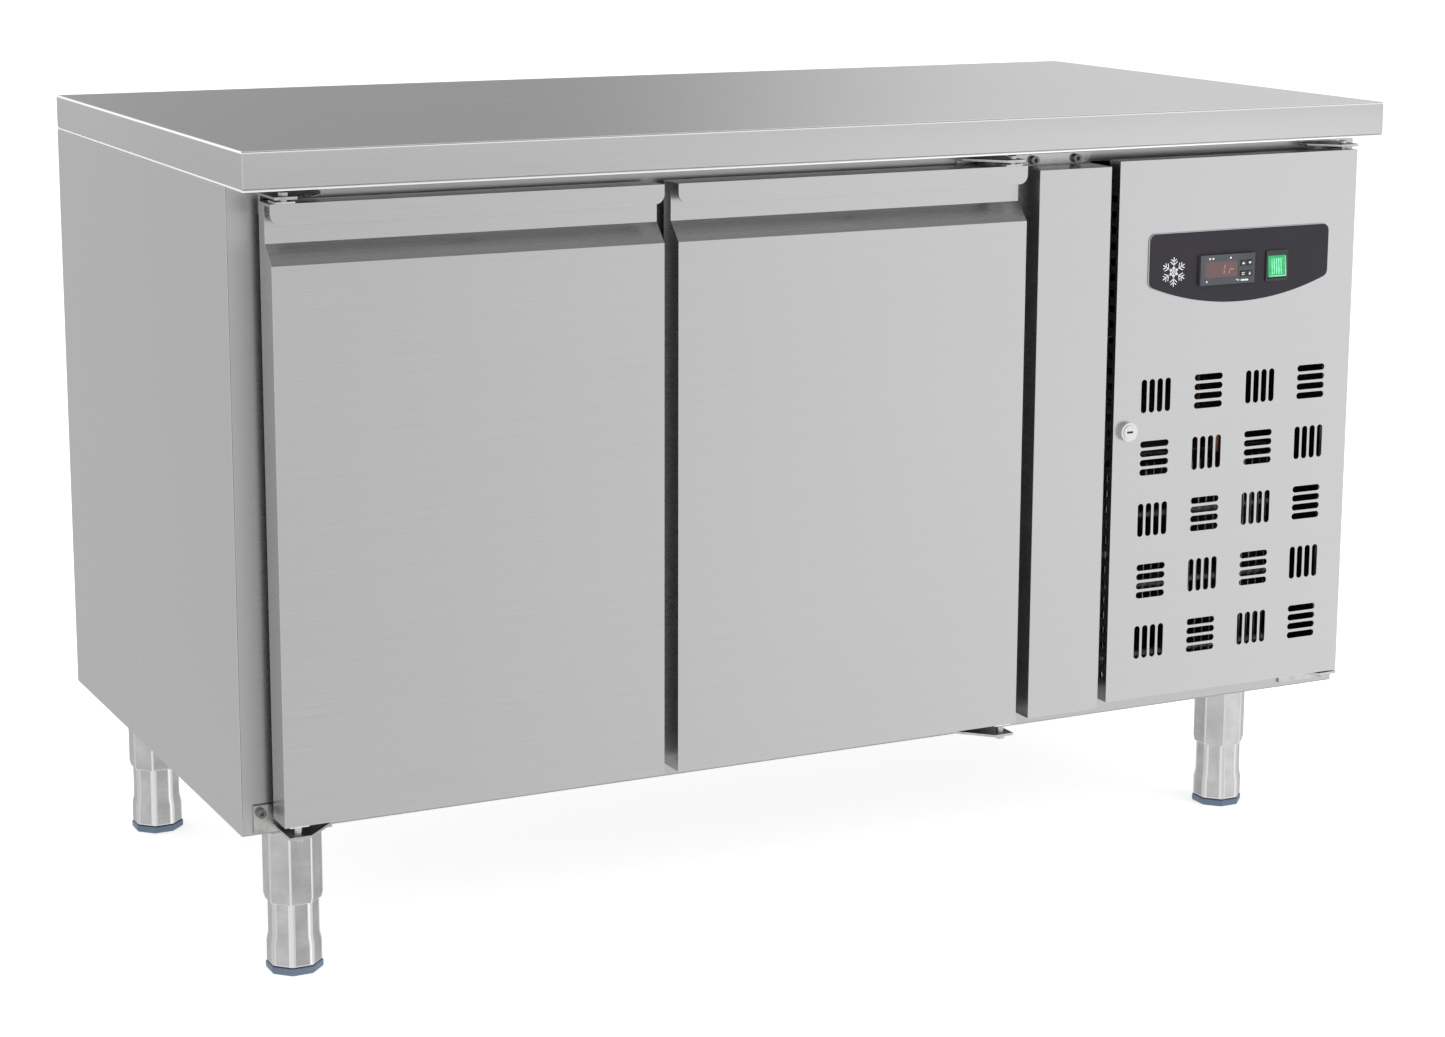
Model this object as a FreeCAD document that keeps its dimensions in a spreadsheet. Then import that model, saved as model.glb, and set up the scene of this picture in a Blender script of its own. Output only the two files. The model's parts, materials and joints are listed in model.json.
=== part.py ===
import FreeCAD, Part
import math
import os
import re

import Sketcher
from FreeCAD import Placement, Rotation, Vector

# A two-door undercounter refrigerator. Millimetres, +Z up, front towards -Y.
# The origin is on the floor, below the middle of the worktop.

DIMENSIONS = {
    # Overall
    "overall_width": 1360,
    "overall_depth": 700,
    "overall_height": 860,
    "leg_height": 160,
    "worktop_thickness": 40,
    "worktop_sheet": 1.5,
    "worktop_edge_radius": 3,
    "worktop_corner_radius": 6,
    "hem_depth": 22,
    "sheet": 1.2,
    "liner_sheet": 0.8,
    "plate": 3,
    # Cabinet front
    "face_setback": 55,
    "front_gap": 7,
    "frame_sheet": 1.5,
    # Cold room, measured inside the liner
    "room_left": -614,
    "room_right": 268,
    "room_floor": 215,
    "room_ceiling": 771,
    "room_back": 300,
    "divider_face": 318,
    "plug_depth": 45,
    # Doors
    "door_width": 420,
    "door_bottom": 179,
    "door_top": 807,
    "door_depth": 36,
    "left_door_edge": -650,
    "right_door_edge": -214,
    "opening_inset": 38,
    "opening_bottom": 217,
    "opening_top": 769,
    "lip_drop": 20,
    "lip_sheet": 3,
    "lip_radius": 10,
    "recess_depth": 19,
    "recess_top_gap": 40.5,
    "recess_slope": 20,
    "gasket_inset": 18,
    "gasket_width": 16,
    "gasket_gap": 0.3,
    "bulge_inset": 46,
    "bulge_depth": 9,
    # Door hinges
    "pin_inset": 16,
    "pin_setback": 7,
    "pin_radius": 4,
    "pin_reach": 13,
    "running_gap": 0.05,
    "bush_radius": 5.5,
    "bush_length": 14,
    "bush_flange": 1.5,
    "bush_strip_half": 10,
    "bush_strip_reach": 18,
    "tongue_top": 814,
    "tongue_bottom": 166,
    "tongue_side": 12,
    "tongue_nose": 11,
    "tongue_slant": 36,
    "tongue_proud": 9,
    "ear_height": 22,
    "low_ear_height": 9,
    "ear_foot": 2,
    "tab_reach": 34,
    "tab_height": 26,
    "arm_reach": 126,
    "arm_gap": 1,
    "pin_head_radius": 5.5,
    "pin_head_height": 4,
    "screw_head_radius": 5,
    "screw_head_height": 5,
    "screw_radius": 2.5,
    "screw_length": 12,
    "screw_socket_radius": 2.6,
    "screw_socket_depth": 3,
    "arm_screw_first": 51,
    "arm_screw_last": 106,
    "arm_screw_height": 6,
    "ear_screw_across": 22,
    "ear_screw_drop": 14,
    "ear_screw_height": 8.5,
    "tab_screw_across": 27,
    "tab_screw_height": 18,
    # Pillar panel and service panel
    "pillar_left": 222,
    "pillar_width": 93,
    "pillar_bottom": 182,
    "pillar_top": 801,
    "service_left": 326,
    "service_width": 324,
    "service_bottom": 188,
    "service_top": 806,
    "service_depth": 22,
    "service_pin_inset": 12,
    "service_pin_radius": 3,
    "service_pin_reach": 5,
    "service_head_radius": 4.5,
    "service_gap": 3,
    "service_nose": 8,
    "service_tongue_side": 16,
    "service_slant": 28,
    "service_ear": 10,
    "service_low_ear": 6,
    "vent_width": 7.5,
    "vent_length": 38.5,
    "vent_pitch": 10.7,
    "vent_group_pitch": 71.4,
    "vent_first": 56,
    "vent_lowest": 66,
    "edge_hole": 8,
    "edge_hole_depth": 11,
    "edge_hole_pitch": 17.6,
    "edge_hole_count": 32,
    "edge_hole_lowest": 26,
    "edge_hole_setback": 5.5,
    "side_vent_length": 140,
    "side_vent_first": -120,
    "side_vent_across": 190,
    "louvre_lowest": 40,
    "louvre_pitch": 18,
    "back_vent_width": 90,
    "back_vent_first": 372,
    "back_vent_across": 120,
    "stile_return_gap": 2,
    "stile_return_front": 320,
    # Controls
    "fascia_left": 366,
    "fascia_width": 247,
    "fascia_top": 723.5,
    "fascia_side": 60,
    "fascia_bow": 24,
    "fascia_sheet": 1.5,
    "fascia_radius": 9,
    "controller_middle": 470.7,
    "controls_height": 678.5,
    "bezel_width": 74,
    "bezel_height": 34,
    "bezel_proud": 4,
    "housing_width": 70,
    "housing_height": 28,
    "housing_depth": 58,
    "screen_middle": -8,
    "screen_width": 45,
    "screen_height": 19,
    "screen_depth": 2,
    "screen_sunk": 0.6,
    "key_first": 20.5,
    "key_pitch_across": 9,
    "key_pitch_up": 12,
    "key_width": 7,
    "key_height": 6,
    "key_proud": 0.8,
    "key_travel": 0.6,
    "key_depth": 4,
    "key_gap": 0.2,
    "switch_middle": 540,
    "switch_width": 30,
    "switch_height": 35,
    "switch_proud": 2,
    "switch_rim": 1.5,
    "switch_depth": 22,
    "switch_well": 11,
    "rocker_size": 25,
    "rocker_side_gap": 0.4,
    "rocker_end_gap": 0.9,
    "rocker_drop": 1,
    "rocker_depth": 9,
    "rocker_tilt": 6,
    "rocker_pivot_radius": 1.5,
    "rocker_pivot_reach": 13.3,
    # Lock
    "lock_across": 18,
    "lock_proud": 6.2,
    "lock_shank_radius": 9.4,
    "lock_height": 501.5,
    "lock_radius": 11,
    "barrel_radius": 8,
    "cam_length": 38,
    "cam_width": 14,
    "cam_sheet": 2,
    "cam_gap": 2,
    "cam_slot_room": 2,
    "key_slot_length": 8,
    "key_slot_width": 2.4,
    "key_slot_depth": 3,
    # Legs
    "front_left_leg_x": -617,
    "front_left_leg_y": -262,
    "back_left_leg_y": 246,
    "right_leg_x": 577,
    "front_right_leg_y": -215,
    "leg_plate": 66,
    "leg_tube_radius": 31,
    "leg_tube_wall": 1.5,
    "leg_rim_radius": 29.3,
    "leg_rim_height": 7,
    "leg_lip_height": 2,
    "leg_tube_length": 84,
    "foot_gap": 0.3,
    "nut_bottom": 118,
    "nut_height": 8,
    "stem_radius": 6,
    "stem_top": 146,
    "stem_root": 4,
    "foot_radius": 27.5,
    "foot_tube_top": 98,
    "foot_flare_top": 41,
    "foot_flare_bottom": 31,
    "foot_base_radius": 29.5,
    "pad_height": 8,
    "pad_radius": 30,
    # Shelves
    "shelf_width": 325,
    "shelf_depth": 530,
    "shelf_height": 486,
    "shelf_front": -262,
    "wire_radius": 2,
    "rim_wire_radius": 3.5,
    "shelf_wires": 12,
    "pilaster_width": 24,
    "pilaster_depth": 8,
    "pilaster_slot_pitch": 40,
    "pilaster_slots": 13,
    "pilaster_slot_first": 36,
    "pilaster_slot_width": 10,
    "pilaster_slot_height": 5,
    "pilaster_front": 22,
    "pilaster_back": 48,
    "runner_ledge": 12,
    "runner_web": 20,
    "runner_past_shelf": 4,
    # Refrigeration
    "evaporator_wall": 170,
    "evaporator_bottom": 330,
    "evaporator_height": 220,
    "evaporator_length": 380,
    "evaporator_depth": 44,
    "evaporator_fins": 22,
    "cover_slot_length": 50,
    "cover_slot_across": 70,
    "cover_slot_lowest": 24,
    "cover_slot_pitch": 16,
    "fan_radius": 86,
    "fan_opening_gap": 3,
    "fan_clearance": 6,
    "strut_sheet": 6,
    "strut_half_width": 12,
    "strut_half_height": 60,
    "evaporator_fan_height": 640,
    "condenser_left": 352,
    "condenser_width": 268,
    "condenser_bottom": 196,
    "condenser_height": 250,
    "condenser_depth": 50,
    "condenser_front": -278,
    "condenser_fins": 26,
    "coil_tube_radius": 5,
    "coil_tube_end": 6,
    "shroud_gap": 2,
    "shroud_ring": 20,
    "shroud_ring_gap": 5,
    "shroud_ring_wall": 3,
    "post_half_width": 18,
    "post_setback": 20,
    "post_sheet": 4,
    "fin_sheet": 1.2,
    "condenser_fan_radius": 104,
    "motor_radius": 36,
    "motor_length": 52,
    "motor_gap": 4,
    "hub_radius": 20,
    "blade_sheet": 1.6,
    "fan_width": 22,
    "compressor_x": 500,
    "compressor_y": 130,
    "compressor_radius": 78,
    "compressor_height": 190,
    "compressor_plate_x": 95,
    "compressor_plate_y": 75,
    "compressor_foot_x": 78,
    "compressor_foot_y": 58,
    "compressor_foot_radius": 10,
    "tray_lift": 8,
    "tray_rim": 10,
    "tray_front_gap": 4,
    "tray_side_gap": 2,
    "pipe_radius": 5,
    "pipe_root": 20,
    "suction_across": -40,
    "suction_back": 30,
    "discharge_across": 30,
    "discharge_front": 30,
    "suction_height": 520,
    "discharge_height": 470,
    "drier_x": 640,
    "drier_y": -60,
    "drier_bottom": 300,
    "drier_length": 110,
    "drier_radius": 15,
    "drier_cap": 15,
    "liquid_height": 560,
    "outlet_height": 217,
    "gland_x": 400,
    "gland_y": 300,
    "gland_radius": 11,
    "gland_nut_radius": 17,
    "gland_bore": 4.5,
    "gland_drop": 12,
    "gland_length": 26,
    "gland_nut_height": 8,
    "electrics_depth": 52,
    "electrics_width": 180,
    "electrics_height": 170,
    "electrics_left": 20,
    "electrics_bottom": 590,
    "electrics_wall": 2,
}

LEFT = "(-overall_width / 2)"
RIGHT = "(overall_width / 2)"
FRONT = "(-overall_depth / 2)"
BACK = "(overall_depth / 2)"
UNDER_TOP = "(overall_height - worktop_thickness)"
FACE = "(face_setback - overall_depth / 2)"
FRAME_BACK = f"({FACE} + frame_sheet)"
DOOR_FRONT = f"({FRONT} + front_gap)"
DOOR_BACK = f"({DOOR_FRONT} + door_depth)"
PIN_Y = f"({DOOR_FRONT} + pin_setback)"
SERVICE_RIGHT = "(service_left + service_width)"
SERVICE_PIN_X = f"({SERVICE_RIGHT} - service_pin_inset)"
SERVICE_PIN_Y = f"({DOOR_FRONT} + service_pin_inset)"
SKIN_FLOOR = "(leg_height + sheet)"
SWITCH_CASE_WIDTH = "(switch_width - 2 * switch_rim)"
SWITCH_CASE_HEIGHT = "(switch_height - 2 * switch_rim)"
EVAPORATOR_X = "((evaporator_wall + room_right) / 2)"
DOORS = {"left": "left_door_edge", "right": "right_door_edge"}
DOOR_PIN_X = {
    "left": "(left_door_edge + pin_inset)",
    "right": "(right_door_edge + door_width - pin_inset)",
}
OPENING_X = {
    "left": ("(left_door_edge + opening_inset)", "(left_door_edge + door_width - opening_inset)"),
    "right": ("(right_door_edge + opening_inset)", "(right_door_edge + door_width - opening_inset)"),
}
ALONG = {
    "X": Rotation(Vector(0, 1, 0), 90),
    "Y": Rotation(Vector(1, 0, 0), -90),
    "Z": Rotation(),
}

VENT_COLUMNS, VENT_ROWS = 2, 6
COVER_SLOT_COLUMNS, COVER_SLOT_ROWS = 5, 5
FAN_BLADES = 5
FLAT_SIDE = 22.5

doc = FreeCAD.newDocument("undercounter_refrigerator")
dims = doc.addObject("Spreadsheet::Sheet", "dims")
for row, (alias, size) in enumerate(DIMENSIONS.items(), 1):
    dims.set(f"A{row}", alias)
    dims.set(f"B{row}", str(size))
    dims.setAlias(f"B{row}", alias)
doc.recompute()

nodes = []


# ---------------------------------------------------------------- helpers


def bound(text):
    """The expression with every name in it pointing at the sheet's cell of that name."""
    return re.sub(r"[a-z][a-z_]+", r"dims.\g<0>", str(text))


def value(text):
    return float(dims.evalExpression(str(text)))


def node(label, obj):
    """Names a finished sub-part and keeps it for the export."""
    obj.Label = label
    nodes.append(obj)
    return obj


def place(obj, at):
    for axis, text in zip("xyz", at):
        obj.setExpression(f"Placement.Base.{axis}", bound(text))


def block(name, x, y, z):
    """A box between low and high expressions on each axis."""
    obj = doc.addObject("Part::Box", name)
    for side, (low, high) in zip(("Length", "Width", "Height"), (x, y, z)):
        obj.setExpression(side, bound(f"({high}) - ({low})"))
    place(obj, (x[0], y[0], z[0]))
    return obj


def rod(name, at, radius, length, axis="Z"):
    """A cylinder that starts at a point and runs along an axis."""
    obj = doc.addObject("Part::Cylinder", name)
    obj.setExpression("Radius", bound(radius))
    obj.setExpression("Height", bound(length))
    obj.Placement = Placement(Vector(), ALONG[axis])
    place(obj, at)
    return obj


def prism(name, at, sides, radius, length, axis="Z", turn=0):
    """A regular prism that starts at a point and runs along an axis."""
    obj = doc.addObject("Part::Prism", name)
    obj.Polygon = sides
    obj.setExpression("Circumradius", bound(radius))
    obj.setExpression("Height", bound(length))
    obj.Placement = Placement(Vector(), ALONG[axis] * Rotation(Vector(0, 0, 1), turn))
    place(obj, at)
    return obj


def group(name, parts):
    """Separate solids kept as one sub-part."""
    obj = doc.addObject("Part::Compound", name)
    obj.Links = parts
    return obj


def fuse(name, parts):
    obj = doc.addObject("Part::MultiFuse", name)
    obj.Shapes = parts
    obj.Refine = False
    return obj


def cut(name, base, tools):
    obj = doc.addObject("Part::Cut", name)
    obj.Base = base
    obj.Tool = tools[0] if len(tools) == 1 else group(f"{name}_tools", tools)
    return obj


def rounded(name, base, radius, chosen):
    """Rounds the edges of a solid that pass a test."""
    doc.recompute()
    obj = doc.addObject("Part::Fillet", name)
    obj.Base = base
    size = value(radius)
    obj.Edges = [
        (index, size, size) for index, edge in enumerate(base.Shape.Edges, 1) if chosen(edge)
    ]
    return obj


def body(name, at=("0", "0", "0")):
    obj = doc.addObject("PartDesign::Body", name)
    place(obj, at)
    return obj


def new_sketch(owner, name, plane, lift="0"):
    sketch = owner.newObject("Sketcher::SketchObject", name)
    origin_plane = next(f for f in owner.Origin.OriginFeatures if f.Role == plane)
    sketch.AttachmentSupport = [(origin_plane, "")]
    sketch.MapMode = "FlatFace"
    sketch.setExpression("AttachmentOffset.Base.z", bound(lift))
    return sketch


def constrain(sketch, kind, *place_and_size):
    """Adds a size constraint and ties it to the sheet."""
    *where, text = place_and_size
    index = sketch.addConstraint(Sketcher.Constraint(kind, *where, value(text)))
    sketch.setExpression(f"Constraints[{index}]", bound(text))


def outline(owner, name, plane, corners, lift="0"):
    """A closed sketch of straight lines through corners, each corner tied to the sheet."""
    sketch = new_sketch(owner, name, plane, lift)
    spots = [Vector(value(a), value(b), 0) for a, b in corners]
    count = len(spots)
    for index, spot in enumerate(spots):
        sketch.addGeometry(Part.LineSegment(spot, spots[(index + 1) % count]))
    for index in range(count):
        sketch.addConstraint(Sketcher.Constraint("Coincident", index, 2, (index + 1) % count, 1))
    for index, (across, up) in enumerate(corners):
        constrain(sketch, "DistanceX", -1, 1, index, 1, across)
        constrain(sketch, "DistanceY", -1, 1, index, 1, up)
    return sketch


def rectangle(x, y):
    return [(x[0], y[0]), (x[1], y[0]), (x[1], y[1]), (x[0], y[1])]


def pad(owner, name, sketch, length, reverse=False):
    feature = owner.newObject("PartDesign::Pad", name)
    feature.Profile = sketch
    feature.Reversed = reverse
    feature.setExpression("Length", bound(length))
    return feature


def pocket(owner, name, sketch, length, reverse=False):
    """Cuts a sketch into its body and makes sure that something was taken away."""
    doc.recompute()
    before = owner.Shape.Volume
    feature = owner.newObject("PartDesign::Pocket", name)
    feature.Profile = sketch
    feature.Reversed = reverse
    feature.setExpression("Length", bound(length))
    doc.recompute()
    if not owner.Shape.Volume < before:
        raise RuntimeError(f"{name} takes nothing away")
    return feature


def straight_pipe(name, points):
    """Round pipe through points joined by lines along the axes, with ball-shaped elbows."""
    parts = []
    for index, (start, end) in enumerate(zip(points, points[1:])):
        axis = next(a for a, p, q in zip("XYZ", start, end) if p != q)
        spot = "XYZ".index(axis)
        ends = (start, end) if value(start[spot]) < value(end[spot]) else (end, start)
        length = f"({ends[1][spot]}) - ({ends[0][spot]})"
        parts.append(rod(f"{name}_run{index}", ends[0], "pipe_radius", length, axis))
    for index, point in enumerate(points[1:-1]):
        elbow = doc.addObject("Part::Sphere", f"{name}_elbow{index}")
        elbow.setExpression("Radius", bound("pipe_radius"))
        place(elbow, point)
        parts.append(elbow)
    return fuse(name, parts)


# ---------------------------------------------------------------- cabinet


def make_worktop():
    """Folded steel pan over a board, with a hem turned in along its front edge."""
    blank = block("worktop_blank", (LEFT, RIGHT), (FRONT, BACK), (UNDER_TOP, "overall_height"))
    high, front = value("overall_height"), value(FRONT)

    def front_upright(edge):
        box = edge.BoundBox
        return box.ZLength > 1 and box.YMax < front + 1

    def top_rim(edge):
        return edge.BoundBox.ZMin > high - 1

    corners = rounded("worktop_corners", blank, "worktop_corner_radius", front_upright)
    shell = rounded("worktop_edges", corners, "worktop_edge_radius", top_rim)
    inside = "worktop_sheet"
    hollow = block(
        "worktop_hollow",
        (f"{LEFT} + {inside}", f"{RIGHT} - {inside}"),
        (f"{FRONT} + 4 * {inside}", f"{BACK} - {inside}"),
        (f"{UNDER_TOP} - 1", f"overall_height - 2 * {inside}"),
    )
    pan = cut("worktop_pan", shell, [hollow])
    hem = block(
        "worktop_hem",
        (f"{LEFT} + 8 * {inside}", f"{RIGHT} - 8 * {inside}"),
        (f"{FRONT} + 2 * {inside}", f"{FRONT} + hem_depth"),
        (UNDER_TOP, f"{UNDER_TOP} + {inside}"),
    )
    node("worktop", fuse("worktop_folded", [pan, hem]))
    core = block(
        "worktop_board",
        (f"{LEFT} + {inside}", f"{RIGHT} - {inside}"),
        (f"{FRONT} + 4 * {inside}", f"{BACK} - {inside}"),
        (f"{UNDER_TOP} + {inside}", f"overall_height - 2 * {inside}"),
    )
    node("worktop_core", core)


def make_outer_panels():
    inner_x = (f"{LEFT} + sheet", f"{RIGHT} - sheet")
    upright = ("leg_height", UNDER_TOP)
    above_floor = (SKIN_FLOOR, UNDER_TOP)
    node("left_side_panel", block("left_sheet", (LEFT, inner_x[0]), (FACE, BACK), upright))
    back = block("back_sheet", inner_x, (f"{BACK} - sheet", BACK), upright)
    side = block("right_sheet", (inner_x[1], RIGHT), (FACE, BACK), upright)
    back_vents, vents = [], []
    for column in range(VENT_COLUMNS):
        for step in range(VENT_ROWS):
            low = f"service_bottom + louvre_lowest + louvre_pitch * {step}"
            rise = (low, f"{low} + vent_width")
            across = f"back_vent_first + back_vent_across * {column}"
            back_vents.append(block(f"back_vent_{column}_{step}",
                                    (across, f"{across} + back_vent_width"),
                                    (f"{BACK} - 2 * sheet", f"{BACK} + sheet"), rise))
            near = f"side_vent_first + side_vent_across * {column}"
            vents.append(block(f"side_vent_{column}_{step}",
                               (f"{RIGHT} - 2 * sheet", f"{RIGHT} + sheet"),
                               (near, f"{near} + side_vent_length"), rise))
    node("back_panel", cut("back_vented", back, back_vents))
    node("right_side_panel", cut("right_vented", side, vents))
    floor = block("floor_sheet", inner_x, (FACE, f"{BACK} - sheet"), ("leg_height", SKIN_FLOOR))
    gland_hole = rod("gland_hole", ("gland_x", "gland_y", "leg_height - sheet"), "gland_radius",
                     "3 * sheet")
    node("bottom_panel", cut("bottom_drilled", floor, [gland_hole]))


def make_front_frame():
    """Flat rails and stiles round the two door openings and the machine compartment."""
    y = (FACE, FRAME_BACK)
    left_open, right_open = OPENING_X["left"], OPENING_X["right"]
    full = (SKIN_FLOOR, UNDER_TOP)
    end = f"{RIGHT} - sheet"
    sill = "service_bottom + 4"
    members = {
        "left_stile": ((f"{LEFT} + sheet", left_open[0]), full),
        "middle_stile": ((left_open[1], right_open[0]), ("opening_bottom", "opening_top")),
        "right_stile": ((right_open[1], "divider_face"), full),
        "top_rail": ((left_open[0], right_open[1]), ("opening_top", UNDER_TOP)),
        "bottom_rail": ((left_open[0], right_open[1]), (SKIN_FLOOR, "opening_bottom")),
        "machine_sill": (("divider_face", end), (SKIN_FLOOR, sill)),
        "machine_stile": ((SERVICE_RIGHT, end), (sill, UNDER_TOP)),
        "machine_header": (("divider_face", SERVICE_RIGHT), ("service_top - 4", UNDER_TOP)),
    }
    blocks = [block(n, x, y, z) for n, (x, z) in members.items()]
    near = f"({SERVICE_RIGHT} + stile_return_gap)"
    blocks.append(block("machine_stile_return", (near, f"{near} + sheet"),
                        ("-stile_return_front", FACE), ("service_bottom", "service_top")))
    node("front_frame", group("frame_members", blocks))


def make_cold_room():
    """Thin liner sheets with foam between them and the outer panels."""
    t = "liner_sheet"
    x = ("room_left", "room_right")
    y = (FRAME_BACK, "room_back")
    z = ("room_floor", "room_ceiling")
    plug_back = f"({FRAME_BACK} + plug_depth)"
    sheets = {
        "liner_floor": (x, y, (f"{z[0]} - {t}", z[0])),
        "liner_ceiling": (x, y, (z[1], f"{z[1]} + {t}")),
        "liner_left": ((f"{x[0]} - {t}", x[0]), y, (f"{z[0]} - {t}", f"{z[1]} + {t}")),
        "liner_right": ((x[1], f"{x[1]} + {t}"), y, (f"{z[0]} - {t}", f"{z[1]} + {t}")),
        "liner_back": (
            (f"{x[0]} - {t}", f"{x[1]} + {t}"),
            (y[1], f"{y[1]} + {t}"),
            (f"{z[0]} - {t}", f"{z[1]} + {t}"),
        ),
        "liner_plug": (("evaporator_wall", x[1]), (plug_back, f"{plug_back} + {t}"), z),
    }
    node("inner_liner", group("liner_sheets", [block(n, *spans) for n, spans in sheets.items()]))

    outside_left = f"{x[0]} - {t}"
    outside_right = f"{x[1]} + {t}"
    behind = f"{BACK} - sheet"
    full = (SKIN_FLOOR, UNDER_TOP)
    foams = {
        "foam_left": ((f"{LEFT} + sheet", outside_left), (FRAME_BACK, behind), full),
        "foam_back": ((outside_left, outside_right), (f"{y[1]} + {t}", behind), full),
        "foam_floor": (
            (outside_left, outside_right),
            (FRAME_BACK, f"{y[1]} + {t}"),
            (SKIN_FLOOR, f"{z[0]} - {t}"),
        ),
        "foam_ceiling": (
            (outside_left, outside_right),
            (FRAME_BACK, f"{y[1]} + {t}"),
            (f"{z[1]} + {t}", UNDER_TOP),
        ),
        "foam_divider": ((outside_right, "divider_face - sheet"), (FRAME_BACK, behind), full),
        "foam_plug": (("evaporator_wall", x[1]), (FRAME_BACK, plug_back), z),
    }
    node("body_foam", group("foam_blocks", [block(n, *spans) for n, spans in foams.items()]))
    divider_x = ("divider_face - sheet", "divider_face")
    node("divider_panel", block("divider_sheet", divider_x, (FRAME_BACK, behind), full))


def make_pillar():
    """Fixed cover between the right door and the service panel, open at its back."""
    x = ("pillar_left", "pillar_left + pillar_width")
    shell = block("pillar_shell", x, (DOOR_FRONT, FACE), ("pillar_bottom", "pillar_top"))
    hollow = block(
        "pillar_hollow",
        (f"{x[0]} + sheet", f"{x[1]} - sheet"),
        (f"{DOOR_FRONT} + sheet", f"{FACE} + 1"),
        ("pillar_bottom + sheet", "pillar_top - sheet"),
    )
    cam_y = f"{DOOR_FRONT} + service_depth"
    slot = block(
        "pillar_slot",
        (f"{x[1]} - 3 * sheet", f"{x[1]} + sheet"),
        (cam_y, f"{cam_y} + cam_gap + cam_sheet + cam_slot_room"),
        ("lock_height - cam_length + 4", "lock_height + cam_width"),
    )
    node("pillar_panel", cut("pillar_cover", shell, [hollow, slot]))


LEG_PLACES = {
    "front_left": ("front_left_leg_x", "front_left_leg_y"),
    "back_left": ("front_left_leg_x", "back_left_leg_y"),
    "front_right": ("right_leg_x", "front_right_leg_y"),
    "back_right": ("right_leg_x", "back_left_leg_y"),
}


def octagon_loft(name, x, y, sections):
    """Ruled solid through level octagons with a flat side towards each axis."""
    rings = []
    for index, (height, radius) in enumerate(sections):
        ring = doc.addObject("Part::RegularPolygon", f"{name}_ring{index}")
        ring.Polygon = 8
        ring.setExpression("Circumradius", bound(radius))
        ring.Placement = Placement(Vector(), Rotation(Vector(0, 0, 1), FLAT_SIDE))
        place(ring, (x, y, height))
        rings.append(ring)
    loft = doc.addObject("Part::Loft", name)
    loft.Sections = rings
    loft.Solid = True
    loft.Ruled = True
    return loft


def make_leg_tube(corner, x, y):
    """Mounting plate over an eight-sided tube with a drawn-in rim and a nut for the stem."""
    low = "(leg_height - leg_tube_length)"
    rim_top = f"({low} + leg_rim_height)"
    lip_top = f"({low} + leg_lip_height)"
    half = "leg_plate / 2"
    plate = block(
        f"{corner}_plate",
        (f"{x} - {half}", f"{x} + {half}"),
        (f"{y} - {half}", f"{y} + {half}"),
        ("leg_height - plate", "leg_height"),
    )
    wall = prism(f"{corner}_wall", (x, y, rim_top), 8, "leg_tube_radius",
                 f"leg_height - plate - {rim_top}", turn=FLAT_SIDE)
    rim = octagon_loft(f"{corner}_rim", x, y, [(low, "leg_rim_radius"),
                                              (rim_top, "leg_tube_radius")])
    solid = fuse(f"{corner}_leg_solid", [plate, wall, rim])
    inner = "leg_tube_radius - leg_tube_wall"
    rim_bore = octagon_loft(f"{corner}_rim_bore", x, y, [(lip_top, "foot_radius + foot_gap"),
                                                        (rim_top, inner)])
    low_bore = prism(f"{corner}_low_bore", (x, y, rim_top), 8, inner, f"nut_bottom - {rim_top}",
                     turn=FLAT_SIDE)
    top_bore = prism(f"{corner}_top_bore", (x, y, "nut_bottom + nut_height"), 8, inner,
                     "leg_height - plate - nut_bottom - nut_height", turn=FLAT_SIDE)
    mouth = prism(f"{corner}_mouth", (x, y, f"{low} - 1"), 8, "foot_radius + foot_gap",
                  "leg_rim_height + 2", turn=FLAT_SIDE)
    thread = rod(f"{corner}_thread", (x, y, "nut_bottom - 1"), "stem_radius + running_gap",
                 "nut_height + 2")
    return cut(f"{corner}_leg_tube", solid, [rim_bore, low_bore, top_bore, mouth, thread])


def make_foot(corner, x, y):
    """Eight-sided steel foot on a stem, flared above a plastic pad."""
    root = "(foot_tube_top - stem_root)"
    stem = rod(f"{corner}_stem", (x, y, root), "stem_radius", f"stem_top - {root}")
    tube = octagon_loft(f"{corner}_tube", x, y, [
        ("pad_height", "foot_base_radius"), ("foot_flare_bottom", "foot_base_radius"),
        ("foot_flare_top", "foot_radius"), ("foot_tube_top", "foot_radius"),
    ])
    steel = fuse(f"{corner}_steel", [stem, tube])
    pad_block = prism(f"{corner}_pad", (x, y, "0"), 8, "pad_radius", "pad_height",
                      turn=FLAT_SIDE)
    node(f"{corner}_foot", group(f"{corner}_foot_solids", [steel, pad_block]))


def make_legs():
    tubes = [make_leg_tube(corner, *spot) for corner, spot in LEG_PLACES.items()]
    node("leg_tubes", group("leg_tube_set", tubes))
    for corner, spot in LEG_PLACES.items():
        make_foot(corner, *spot)


# ---------------------------------------------------------------- doors


def door_profile(wall):
    """The door's section, front to back and up, moved in by the wall thickness."""
    front = f"({DOOR_FRONT} + {wall})"
    recess = f"({DOOR_FRONT} + recess_depth + {wall})"
    slope_foot = "(door_top - recess_top_gap - recess_slope)"
    return front, recess, slope_foot


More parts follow.
